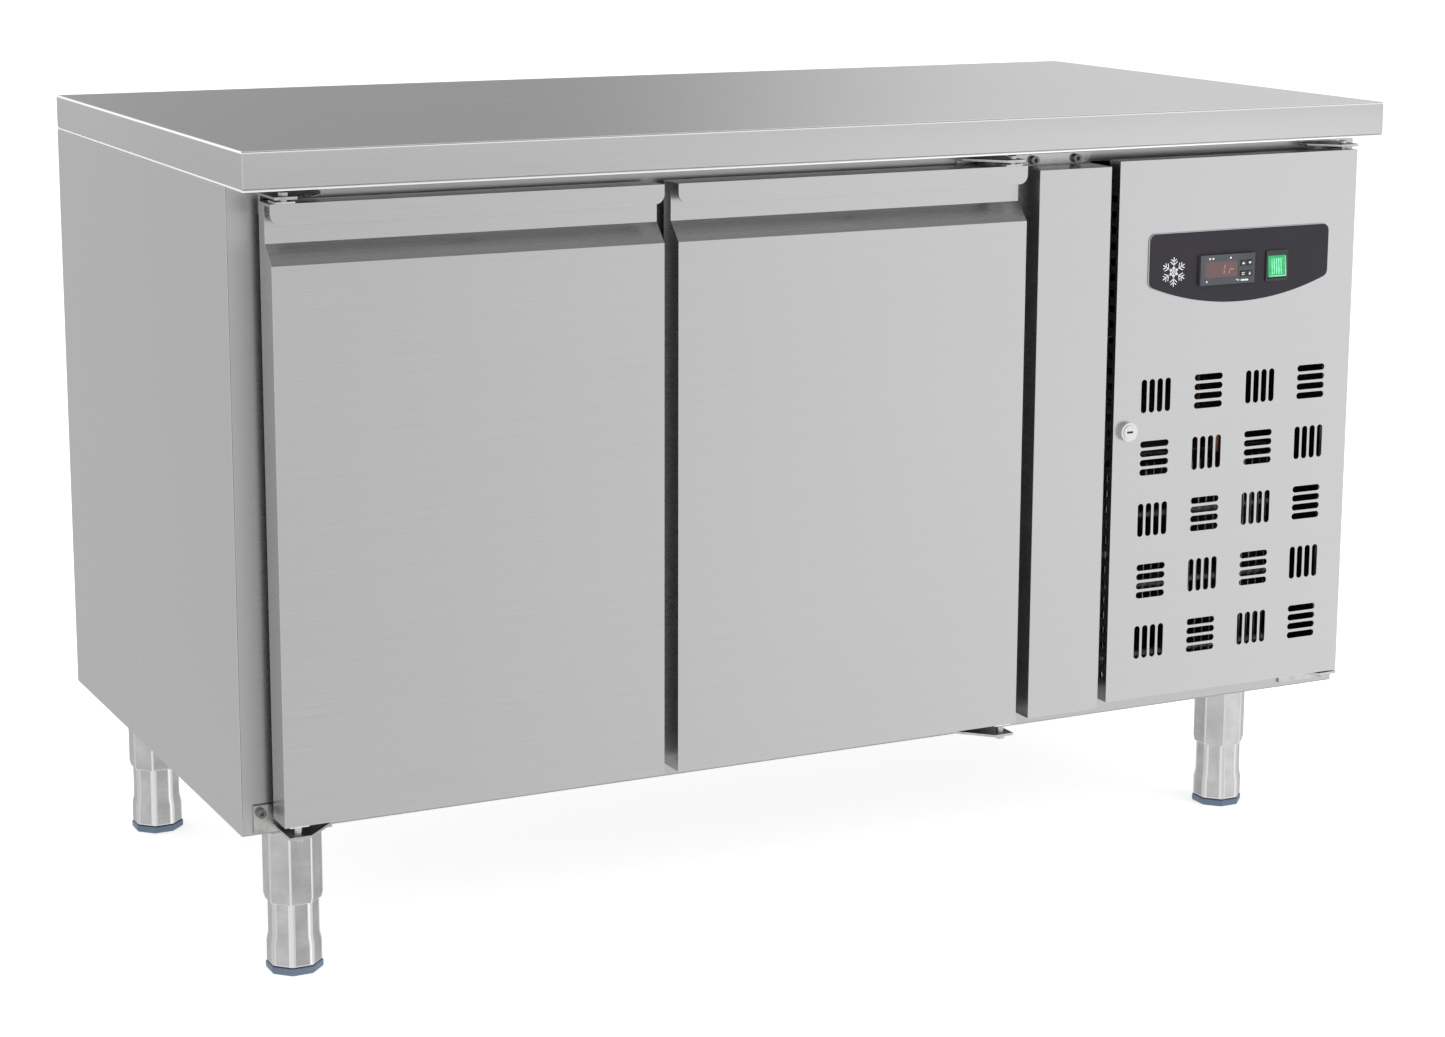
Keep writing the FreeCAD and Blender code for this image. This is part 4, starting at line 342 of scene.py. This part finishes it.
def soften(piece, width, segments=2, edge_highlight_finish=None):
    """Rounds a piece's sharp edges, less on thin rims, with smooth shading between them.

    The rounding may have its own paler finish, a painted highlight."""
    mesh = piece.data
    bm = bmesh.new()
    bm.from_mesh(mesh)
    weights = bm.edges.layers.float.new("bevel_weight_edge")
    for edge in bm.edges:
        if len(edge.link_faces) == 2 and edge.calc_face_angle() > SHARP_EDGE:
            room = min(narrowest(face) for face in edge.link_faces)
            edge[weights] = min(1.0, ROOM_SHARE * room / width)
    for face in bm.faces:
        face.smooth = True
    bm.to_mesh(mesh)
    bm.free()
    bevel = piece.modifiers.new("rounded_edges", "BEVEL")
    bevel.width = width
    bevel.segments = segments
    bevel.limit_method = "WEIGHT"
    bevel.use_clamp_overlap = True
    if edge_highlight_finish:
        mesh.materials.append(edge_highlight_finish)
        bevel.material = 1
    normals = piece.modifiers.new("even_shading", "WEIGHTED_NORMAL")
    normals.weight = 100
    normals.keep_sharp = True
    return piece


def copy_of(node):
    """The CAD node's own shape with its triangles joined into whole faces."""
    same_point, same_plane = 0.004 * MM, math.radians(1.0)
    bm = bmesh.new()
    bm.from_mesh(nodes[node].data)
    bmesh.ops.remove_doubles(bm, verts=bm.verts, dist=same_point)
    bmesh.ops.dissolve_limit(bm, angle_limit=same_plane, verts=bm.verts, edges=bm.edges)
    return bm


def refine(node, width, segments=2, material=None, edge_highlight_finish=None):
    """A piece of a CAD node's shape with rounded edges and its own finish."""
    slot = slot_of[node]
    piece = new_piece(f"{node}_finished", copy_of(node), body_of_node[node],
                      material or materials[slot], [node])
    return soften(piece, width, segments, edge_highlight_finish)


def keep(node, finish=None):
    """Gives a CAD node that stays its slot's finish, or its own."""
    mesh = nodes[node].data
    mesh.materials.clear()
    mesh.materials.append(finish or materials[slot_of[node]])


def second_finish(piece, finish, chosen):
    """Gives the faces of a piece or a kept node that pass the test another finish."""
    piece.data.materials.append(finish)
    for face in piece.data.polygons:
        if chosen(face):
            face.material_index = 1


def loop_faces(bm, rings, close_start=False, close_end=False):
    """Skins closed rings of points, each ring the same length."""
    made = [[bm.verts.new(point) for point in ring] for ring in rings]
    count = len(made[0])
    for first, second in zip(made, made[1:]):
        for index in range(count):
            after = (index + 1) % count
            bm.faces.new((first[index], first[after], second[after], second[index]))
    if close_start:
        bm.faces.new(list(reversed(made[0])))
    if close_end:
        bm.faces.new(made[-1])
    return made


def prism(bm, outline, matrix, depth):
    """A plate from a flat outline, moved by a matrix, grown along its third axis."""
    rings = [[matrix @ Vector((x, y, z)) for x, y in outline] for z in (0, depth)]
    loop_faces(bm, rings, close_start=True, close_end=True)


def rounded_rectangle(half_x, half_y, radii, steps=6):
    """Outline with a radius for each corner, in turn from the right front, anticlockwise."""
    points = []
    signs = [(1, -1), (1, 1), (-1, 1), (-1, -1)]
    for quarter, ((sx, sy), radius) in enumerate(zip(signs, radii)):
        centre = (sx * (half_x - radius), sy * (half_y - radius))
        start = math.radians(90 * quarter - 90)
        for step in range(steps + 1):
            angle = start + math.radians(90) * step / steps
            points.append((centre[0] + radius * math.cos(angle),
                           centre[1] + radius * math.sin(angle)))
    return points


def facing_front(x, y, z):
    """A frame whose first axis is +X, second +Z and third -Y, at a point."""
    return Matrix(((1, 0, 0, x), (0, 0, -1, y), (0, 1, 0, z), (0, 0, 0, 1)))


def middle(node):
    low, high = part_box(node)
    return (low + high) / 2


# ---------------------------------------------------------------- cabinet


def make_worktop():
    """Pan with rounded edges, a rolled bead along its foot and turned-in flanges. The bead and the
    edge rounding are much paler steel, a painted highlight.
    """
    low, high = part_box("worktop")
    centre = (low + high) / 2
    half = (high - low) / 2
    edge, corner, hem, bead, flat = 2.2 * MM, 3 * MM, 22 * MM, 1.6 * MM, 12 * MM
    sharpest, bead_steps, edge_steps = 0.3 * MM, 8, 6
    profile = [(hem, low.z + bead), (hem, low.z), (bead, low.z)]
    bead_rings = range(len(profile) - 1, len(profile) - 1 + bead_steps)
    for step in range(1, bead_steps + 1):
        angle = math.radians(180 / bead_steps) * step - math.radians(90)
        profile.append((bead * (1 - math.cos(angle)), low.z + bead * (1 + math.sin(angle))))
    profile += [(0.9 * MM, low.z + 2 * bead), (0, low.z + 2 * bead + 0.5 * MM)]
    edge_rings = range(len(profile), len(profile) + edge_steps)
    for step in range(edge_steps + 1):
        angle = math.radians(90) * step / edge_steps
        profile.append((edge - edge * math.cos(angle), high.z - edge + edge * math.sin(angle)))
    profile.append((flat, high.z))
    rings = []
    for inset, height in profile:
        front = max(corner - inset, sharpest)
        back = max(corner / 2 - inset, sharpest)
        outline = rounded_rectangle(half.x - inset, half.y - inset, (front, back, back, front))
        rings.append([(centre.x + x, centre.y + y, height) for x, y in outline])
    bm = bmesh.new()
    loop_faces(bm, rings, close_end=True)
    piece = new_piece("worktop_pan", bm, "cabinet", materials["brushed_steel"],
                      ["worktop"])
    # The bead and the edge rounding get the paler steel: painted highlight.
    piece.data.materials.append(edge_highlight_steel)
    for face in piece.data.polygons:
        face.use_smooth = True
        ring = face.index // len(outline)
        face.material_index = int(ring in bead_rings or ring in edge_rings)
    piece.data.set_sharp_from_angle(angle=math.radians(40))


def faces_doorway(face):
    """True for the end of the insulation that forms the right doorway's side."""
    right_of, in_front_of = 0.1, -0.25
    if face.center.x < right_of or face.center.y > in_front_of:
        return False
    return face.normal.x < -ONE_WAY


def make_cabinet():
    make_worktop()
    refine("left_side_panel", 1.0 * MM, material=upright_steel)
    side = refine("right_side_panel", 1.0 * MM, material=upright_steel)
    # Inner faces of the right side and back panels are near black: painted shade.
    second_finish(side, inner_shade_steel, lambda face: face.normal.x < -ONE_WAY)
    back = refine("back_panel", 1.0 * MM)
    second_finish(back, inner_shade_steel, lambda face: face.normal.y < -ONE_WAY)
    refine("pillar_panel", 1.0 * MM)
    for node in ("bottom_panel", "machine_tray", "divider_panel"):
        refine(node, 0.4 * MM)
    for node in ("worktop_core", "inner_liner", "body_foam"):
        keep(node)
    second_finish(nodes["body_foam"], materials["liner_steel"], faces_doorway)
    # Front frame in the darker copy of the steel: painted shade.
    keep("front_frame", shaded_frame_steel)


def octagon(centre, radius, height):
    """Eight corners with a flat side towards each axis."""
    turns = [math.radians(45 * k + 22.5) for k in range(8)]
    return [(centre.x + radius * math.cos(turn), centre.y + radius * math.sin(turn), height)
            for turn in turns]


def make_feet(corner):
    """Eight-sided steel foot flared above a plastic pad, for each leg.

    The levels are heights above the floor and radii, in millimetres."""
    steel_levels = [(98, 24), (98, 27.5), (41, 27.5), (31, 29.5), (8, 29.5), (8, 20)]
    pad_levels = [(0, 28.6), (1.6, 30), (8, 30), (8, 22)]
    stem_foot, stem_radius, stem_sides = 97 * MM, 6 * MM, 24
    stem = [(stem_radius * math.cos(turn), stem_radius * math.sin(turn))
            for turn in (2 * math.pi * k / stem_sides for k in range(stem_sides))]
    for leg in ("front_left", "back_left", "front_right", "back_right"):
        node = f"{leg}_foot"
        centre = middle(node)
        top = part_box(node)[1].z
        bm = bmesh.new()
        rings = [octagon(centre, r * MM, z * MM) for z, r in reversed(steel_levels)]
        loop_faces(bm, rings, close_start=True, close_end=True)
        base = Matrix.Translation((centre.x, centre.y, stem_foot))
        prism(bm, stem, base, top - stem_foot)
        steel = new_piece(f"{node}_steel", bm, body_of_node[node], materials["polished_steel"],
                          [node])
        # Corner roundings in paler steel: painted highlight.
        soften(steel, corner, segments=5, edge_highlight_finish=corner_highlight_steel)
        bm = bmesh.new()
        rings = [octagon(centre, r * MM, z * MM) for z, r in pad_levels]
        loop_faces(bm, rings, close_start=True, close_end=True)
        pad = new_piece(f"{node}_pad", bm, body_of_node[node], materials["grey_plastic"])
        soften(pad, 0.8 * MM)


def make_legs():
    corner = 4 * MM
    # Corner roundings in paler steel: painted highlight.
    refine("leg_tubes", corner, segments=5, edge_highlight_finish=corner_highlight_steel)
    make_feet(corner)


# ---------------------------------------------------------------- doors


def make_gasket(side):
    """Bellows gasket: a base in the door, a thin waist and a rounded magnet strip."""
    node = f"{side}_door_gasket"
    low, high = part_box(node)
    centre = (low + high) / 2
    half_x, half_z = (high.x - low.x) / 2, (high.z - low.z) / 2
    width, outer_radius, inner_radius = 16 * MM, 9 * MM, 1 * MM
    profile = [(0.0, 0.0), (0.0, 0.18), (0.14, 0.30), (0.24, 0.42), (0.14, 0.54), (0.02, 0.64),
               (0.0, 0.80), (0.05, 0.94), (0.14, 1.0), (0.86, 1.0), (0.95, 0.94), (1.0, 0.80),
               (0.98, 0.64), (0.86, 0.54), (0.76, 0.42), (0.86, 0.30), (1.0, 0.18), (1.0, 0.0)]
    rings = []
    for across, deep in profile:
        inset = across * width
        radius = max(outer_radius - inset, inner_radius)
        outline = rounded_rectangle(half_x - inset, half_z - inset, (radius,) * 4, 4)
        y = low.y + deep * (high.y - low.y)
        rings.append([(centre.x + x, y, centre.z + z) for x, z in outline])
    bm = bmesh.new()
    made = loop_faces(bm, rings)
    count = len(made[0])
    for index in range(count):
        after = (index + 1) % count
        bm.faces.new((made[-1][index], made[-1][after], made[0][after], made[0][index]))
    bmesh.ops.recalc_face_normals(bm, faces=bm.faces)
    piece = new_piece(f"{node}_bellows", bm, f"{side}_door", materials["gasket_rubber"],
                      [node])
    for face in piece.data.polygons:
        face.use_smooth = True
    piece.data.set_sharp_from_angle(angle=math.radians(60))


def make_doors():
    for side in ("left", "right"):
        refine(f"{side}_door_skin", 1.1 * MM, segments=3)
        refine(f"{side}_door_liner", 0.8 * MM)
        refine(f"{side}_door_bushes", 0.3 * MM)
        keep(f"{side}_door_foam")
        make_gasket(side)


def make_hinges():
    for node in ("door_hinge_brackets", "service_hinge_brackets"):
        bracket = refine(node, 0.5 * MM)
        second_finish(bracket, shaded_zinc, lambda face: abs(face.normal.z) > ONE_WAY)
    refine("hinge_pins", 0.4 * MM)
    refine("bracket_screws", 0.4 * MM, material=shaded_zinc)


# ---------------------------------------------------------------- service panel


def bar(bm, start, end, width, matrix, depth):
    """A flat bar with pointed ends between two points of a drawing."""
    tip_share = 0.3
    start, end = Vector(start), Vector(end)
    along = (end - start).normalized()
    side = Vector((-along.y, along.x)) * width / 2
    tip = along * width * tip_share
    outline = [start - tip, start - side, end - side, end + tip, end + side, start + side]
    prism(bm, [tuple(point) for point in outline], matrix, depth)


def make_snowflake():
    """White snowflake printed at the left of the fascia."""
    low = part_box("control_fascia")[0]
    from_left, height = 33.7 * MM, 679 * MM
    matrix = facing_front(low.x + from_left, low.y + 0.02 * MM, height)
    reach, width, film = 16.5 * MM, 0.95 * MM, 0.1 * MM
    branch_turn = math.radians(52)
    ring, waist = 0.42 * reach, 0.21 * reach
    bm = bmesh.new()
    for arm in range(6):
        placed = matrix @ Matrix.Rotation(math.radians(60 * arm), 4, "Z")
        bar(bm, (0, 0.06 * reach), (0, reach), width, placed, film)
        for sign in (-1, 1):
            side = (sign * waist * 0.5, waist * math.cos(math.radians(30)))
            bar(bm, (0, ring), side, width * 0.8, placed, film)
            for start, length in ((0.48, 0.36), (0.70, 0.28)):
                tip = (sign * length * reach * math.sin(branch_turn),
                       (start + length * math.cos(branch_turn)) * reach)
                bar(bm, (0, start * reach), tip, width * 0.9, placed, film)
    new_piece("fascia_snowflake", bm, "service_door", print_white)


def digit(bm, segments, matrix):
    """One seven-segment figure. The segments are named as on any such display."""
    width, height, stroke = 6 * MM, 11 * MM, 1.2 * MM
    half = height / 2
    ends = {
        "a": ((0, height), (width, height)), "b": ((width, half), (width, height)),
        "c": ((width, 0), (width, half)), "d": ((0, 0), (width, 0)),
        "e": ((0, 0), (0, half)), "f": ((0, half), (0, height)), "g": ((0, half), (width, half)),
    }
    for name in segments:
        start, end = (Vector(point) for point in ends[name])
        gap = (end - start).normalized() * stroke * 0.75
        bar(bm, start + gap, end - gap, stroke, matrix, FILM)


def disc(bm, matrix, x, y, radius):
    """A round mark."""
    sides = 16
    outline = [(x + radius * math.cos(2 * math.pi * k / sides),
                y + radius * math.sin(2 * math.pi * k / sides)) for k in range(sides)]
    prism(bm, outline, matrix, FILM)


def make_display():
    """Figures on the controller's screen, and marks and lamps around it."""
    low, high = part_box("controller_screen")
    slant = 0.12
    slanted = Matrix.Identity(4)
    slanted[0][1] = slant
    matrix = facing_front(low.x, low.y + 0.01 * MM, low.z) @ slanted
    bm = bmesh.new()
    for from_left, segments in ((19 * MM, "bc"), (32 * MM, "eg")):
        digit(bm, segments, matrix @ Matrix.Translation((from_left, 4 * MM, 0)))
    new_piece("screen_figures", bm, "service_door", segment_red)

    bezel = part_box("controller_housing")
    face = facing_front(low.x, bezel[0].y + 0.02 * MM, low.z)
    lamp_level = high.z - low.z + 3.4 * MM
    print_level, print_pitch = -3.9 * MM, 2.6 * MM
    bm = bmesh.new()
    for from_left in (5.5, 10, 34):
        disc(bm, face, from_left * MM, lamp_level, 1.1 * MM)
    disc(bm, face, 2 * MM, -3.4 * MM, 1.0 * MM)
    for step in range(4):
        start = 49 * MM + print_pitch * step
        bar(bm, (start, print_level), (start + 1.6 * MM, print_level), 1.9 * MM, face, FILM)
    disc(bm, face, 42.6 * MM, -2.6 * MM, 0.6 * MM)
    bar(bm, (44.0 * MM, -3.6 * MM), (46.0 * MM, -3.6 * MM), 1.1 * MM, face, FILM)
    new_piece("bezel_marks", bm, "service_door", print_white)


def make_key_marks():
    """A white mark on each key: arrows up and down, a bar pair and a drop."""
    for key in KEYS:
        low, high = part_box(f"{key}_key")
        centre = (low + high) / 2
        matrix = facing_front(centre.x, low.y + 0.01 * MM, centre.z)
        bm = bmesh.new()
        if key in ("up", "down"):
            sign = 1 if key == "up" else -1
            outline = [(-2 * MM, -1.2 * MM * sign), (2 * MM, -1.2 * MM * sign),
                       (0, 1.6 * MM * sign)]
            prism(bm, outline[::sign], matrix, FILM)
        elif key == "set":
            for level in (-1, 1):
                bar(bm, (-1.6 * MM, level * MM), (1.6 * MM, level * MM), 0.8 * MM, matrix, FILM)
        else:
            disc(bm, matrix, 0, -0.4 * MM, 1.2 * MM)
            prism(bm, [(-0.9 * MM, 0.3 * MM), (0.9 * MM, 0.3 * MM), (0, 2 * MM)], matrix, FILM)
        new_piece(f"{key}_key_mark", bm, body_of_node[f"{key}_key"], print_white)


def make_fascia_film():
    """Dark printed film over the fascia, set in a little from the plate's bright cut edge."""
    edge, film = 0.7 * MM, 0.06 * MM
    bm = copy_of("control_fascia")
    bm.normal_update()
    behind = [face for face in bm.faces if face.normal.y > -ONE_WAY]
    bmesh.ops.delete(bm, geom=behind, context="FACES")
    rim = bmesh.ops.inset_region(bm, faces=bm.faces[:], thickness=edge, use_boundary=True,
                                 use_even_offset=True)
    bmesh.ops.delete(bm, geom=rim["faces"], context="FACES")
    grown = bmesh.ops.extrude_face_region(bm, geom=bm.faces[:], use_keep_orig=True)
    front = [item for item in grown["geom"] if isinstance(item, bmesh.types.BMVert)]
    bmesh.ops.translate(bm, verts=front, vec=(0, -film, 0))
    bmesh.ops.recalc_face_normals(bm, faces=bm.faces[:])
    new_piece("fascia_film", bm, "service_door", materials["fascia_film"])


def make_rocker_lens():
    """Ribbed lens on the rocker's face, with a pale rim on two sides: a painted highlight standing
    for a clear cover's glinting edges.
    """
    corners = [vert.co for vert in nodes["switch_rocker"].data.vertices]
    low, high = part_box("switch_rocker")
    near = 4 * MM
    upper = min((point for point in corners if point.z > high.z - near), key=lambda p: p.y)
    lower = min((point for point in corners if point.z < low.z + near), key=lambda p: p.y)
    rise = upper - lower
    rise.x = 0
    height = rise.length
    rise.normalize()
    across = Vector((1, 0, 0))
    outward = across.cross(rise)
    centre = Vector(((low.x + high.x) / 2, (upper.y + lower.y) / 2, (upper.z + lower.z) / 2))
    matrix = Matrix((across, rise, outward)).transposed().to_4x4()
    matrix.translation = centre
    half = height / 2
    ribs, pitch, lift = 5, height / 8, 0.35 * MM
    rib_reach, rim_reach, rim_inset, rim_width = 0.72 * half, 0.86 * half, 0.88 * half, 1.1 * MM
    bm = bmesh.new()
    for step in range(ribs):
        x = (step - ribs / 2) * pitch
        bar(bm, (x, -rib_reach), (x, rib_reach), pitch * 0.5, matrix, lift)
    new_piece("rocker_ribs", bm, "power_switch", lens_green)
    bm = bmesh.new()
    bar(bm, (-rim_reach, -rim_inset), (rim_reach, -rim_inset), rim_width, matrix, lift)
    bar(bm, (rim_inset, -rim_reach), (rim_inset, rim_reach), rim_width, matrix, lift)
    new_piece("rocker_rim_highlight", bm, "power_switch", cover_edge_highlight)


def make_key_slot():
    """Black plate set into the lock's keyway: painted shadow."""
    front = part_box("lock_barrel")[0].y
    low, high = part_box("lock_body")
    half_length, width, deep = 3.2 * MM, 2.2 * MM, 0.4 * MM
    matrix = facing_front(middle("lock_barrel").x, front + deep, low.z)
    bm = bmesh.new()
    level = (high.z - low.z) / 2
    bar(bm, (-half_length, level), (half_length, level), width, matrix, deep / 2)
    new_piece("lock_keyway_shadow", bm, "lock", keyway_shadow_black)


def make_service_panel():
    refine("service_panel", 1.0 * MM, segments=3)
    refine("control_fascia", 0.4 * MM, material=materials["fan_aluminium"])
    make_fascia_film()
    refine("controller_housing", 0.9 * MM, segments=3, material=bezel_grey)
    refine("controller_screen", 0.2 * MM)
    for key in KEYS:
        refine(f"{key}_key", 0.4 * MM, material=key_black)
    refine("switch_frame", 0.8 * MM, segments=3)
    refine("switch_rocker", 1.0 * MM, segments=3)
    refine("lock_body", 0.9 * MM, segments=3)
    barrel = refine("lock_barrel", 0.5 * MM)
    head_and_panel = 16 * MM
    panel_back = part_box("lock_body")[0].y + head_and_panel
    # The barrel's shank behind the panel is near black: painted shade.
    second_finish(barrel, barrel_shade_steel, lambda face: face.center.y > panel_back)
    make_rocker_lens()
    make_key_slot()
    make_snowflake()
    make_display()
    make_key_marks()


# ---------------------------------------------------------------- inside


def make_inside():
    for node in ("pilasters", "shelf_runners", "evaporator_cover", "condenser_shroud",
                 "electrical_box", "cable_gland", "evaporator_fan_motor",
                 "condenser_fan_motor", "filter_drier", "compressor"):
        refine(node, 0.5 * MM)
    for node in ("left_wire_shelf", "right_wire_shelf", "evaporator_coil", "condenser_coil",
                 "evaporator_fan_blade", "condenser_fan_blade", "refrigerant_pipes"):
        keep(node)


# ---------------------------------------------------------------- stage, light and camera


def make_stage():
    """Pale floor that runs far out on every side."""
    reach = 40.0
    mesh = bpy.data.meshes.new("floor")
    mesh.from_pydata([(-reach, -reach, 0), (reach, -reach, 0), (reach, reach, 0),
                      (-reach, reach, 0)], [], [(0, 1, 2, 3)])
    floor = bpy.data.objects.new("floor", mesh)
    bpy.context.scene.collection.objects.link(floor)
    s = Shader("pale_floor")
    cloud = s.stretched((0.4, 0.4, 0.4))
    tone = s.mixed(s.span(cloud, 0, 1), (0.86, 0.86, 0.86), (0.88, 0.88, 0.88))
    s.link(tone, s.surface.inputs["Base Color"])
    s.link(tone, s.surface.inputs["Emission Color"])
    s.set(Roughness=0.9, Emission_Strength=0.70, Specular_IOR_Level=0.0)
    mesh.materials.append(s.material)
    floor.visible_glossy = False


class WorldTree:
    """Node tree of the surroundings, worked out from the direction that a ray takes."""

    def __init__(self):
        self.world = bpy.data.worlds.new("studio")
        self.world.use_nodes = True
        self.tree = self.world.node_tree
        self.background = self.tree.nodes["Background"]
        place = self.tree.nodes.new("ShaderNodeTexCoord")
        self.axes = self.tree.nodes.new("ShaderNodeSeparateXYZ")
        self.tree.links.new(place.outputs["Generated"], self.axes.inputs["Vector"])

    def rise(self, axis, start, end, low, high):
        """A smooth step from low to high as one axis of the direction goes from start to end."""
        step = self.tree.nodes.new("ShaderNodeMapRange")
        step.interpolation_type = "SMOOTHSTEP"
        for name, number in (("From Min", start), ("From Max", end), ("To Min", low),
                             ("To Max", high)):
            step.inputs[name].default_value = number
        self.tree.links.new(self.axes.outputs[axis], step.inputs["Value"])
        return step.outputs["Result"]

    def mixed(self, factor, first, second):
        choice = self.tree.nodes.new("ShaderNodeMix")
        choice.data_type = "FLOAT"
        self.tree.links.new(factor, choice.inputs["Factor"])
        for socket, source in ((choice.inputs[2], first), (choice.inputs[3], second)):
            if isinstance(source, bpy.types.NodeSocket):
                self.tree.links.new(source, socket)
            else:
                socket.default_value = source
        return choice.outputs[0]


def make_world():
    """White to the camera. As light: brighter to the front right and left, darker level with the
    worktop at the back right, dim overhead.

    A direction has X from -1 at the left to 1 at the right, Y from -1 in front to 1 behind, and
    Z from -1 below to 1 above."""
    w = WorldTree()
    front = w.rise("X", 0.32, 0.65, 0.85, 1.5)
    front = w.mixed(w.rise("X", -0.35, -0.1, 1, 0), front, 1.05)
    front = w.mixed(w.rise("X", 0.70, 0.84, 0, 1), front, 0.95)
    below = w.mixed(w.rise("Y", -0.3, 0.2, 0, 1), front, 0.77)
    right = w.rise("X", 0.38, 0.53, 0.39, 0.94)
    level = w.mixed(w.rise("X", 0.02, 0.27, 1, 0), right, 1.15)
    level = w.mixed(w.rise("Y", -0.3, 0.2, 0, 1), 1.0, level)
    around = w.mixed(w.rise("Z", -0.01, 0.06, 0, 1), below, level)
    around = w.mixed(w.rise("Z", -0.9, -0.4, 1, 0), around, 1.1)
    overhead = w.rise("Y", -0.1, 0.3, 0.32, 0.7)
    around = w.mixed(w.rise("Z", 0.5, 0.75, 0, 1), around, overhead)
    seen = w.tree.nodes.new("ShaderNodeLightPath")
    strength = w.mixed(seen.outputs["Is Camera Ray"], around, 1.0)
    w.tree.links.new(strength, w.background.inputs["Strength"])
    w.background.inputs["Color"].default_value = (1, 1, 1, 1)
    bpy.context.scene.world = w.world


def softbox(name, spot, aim, size, power):
    """Large lamp that lights the object but isn't mirrored in it."""
    light = bpy.data.lights.new(name, "AREA")
    light.shape = "RECTANGLE"
    light.size, light.size_y = size
    light.energy = power
    lamp = bpy.data.objects.new(name, light)
    lamp.location = spot
    lamp.rotation_mode = "QUATERNION"
    lamp.rotation_quaternion = (Vector(aim) - Vector(spot)).to_track_quat("-Z", "Y")
    lamp.visible_glossy = False
    bpy.context.scene.collection.objects.link(lamp)


def make_camera():
    """Camera in front of the left corner, a little above the worktop."""
    spot = Vector((-1.5566, -3.1553, 1.1600))
    heading, tilt, roll = 0.4601, 0.1896, 0.0038
    image_width = 1445
    focal_pixels, rise_pixels = 3050.6, -100
    ahead = Vector((math.sin(heading) * math.cos(tilt), math.cos(heading) * math.cos(tilt),
                    -math.sin(tilt)))
    right = Vector((math.cos(heading), -math.sin(heading), 0))
    up = right.cross(ahead)
    turned_right = right * math.cos(roll) + up * math.sin(roll)
    turned_up = up * math.cos(roll) - right * math.sin(roll)
    axes = Matrix((turned_right, turned_up, -ahead)).transposed()
    camera = bpy.data.cameras.new("camera")
    camera.sensor_width = 36
    camera.lens = focal_pixels / image_width * camera.sensor_width
    camera.shift_y = rise_pixels / image_width
    holder = bpy.data.objects.new("camera", camera)
    holder.matrix_world = Matrix.Translation(spot) @ axes.to_4x4()
    bpy.context.scene.collection.objects.link(holder)
    bpy.context.scene.camera = holder


make_cabinet()
make_legs()
make_doors()
make_hinges()
make_service_panel()
make_inside()
make_stage()
make_world()
softbox("key", spot=(2.6, -3.2, 3.2), aim=(0, 0, 0.4), size=(2.6, 2.0), power=50)
softbox("overhead", spot=(-0.4, -0.3, 3.6), aim=(0, 0, 0.6), size=(3.0, 2.2), power=60)
make_camera()
bpy.context.scene.view_settings.view_transform = "Standard"
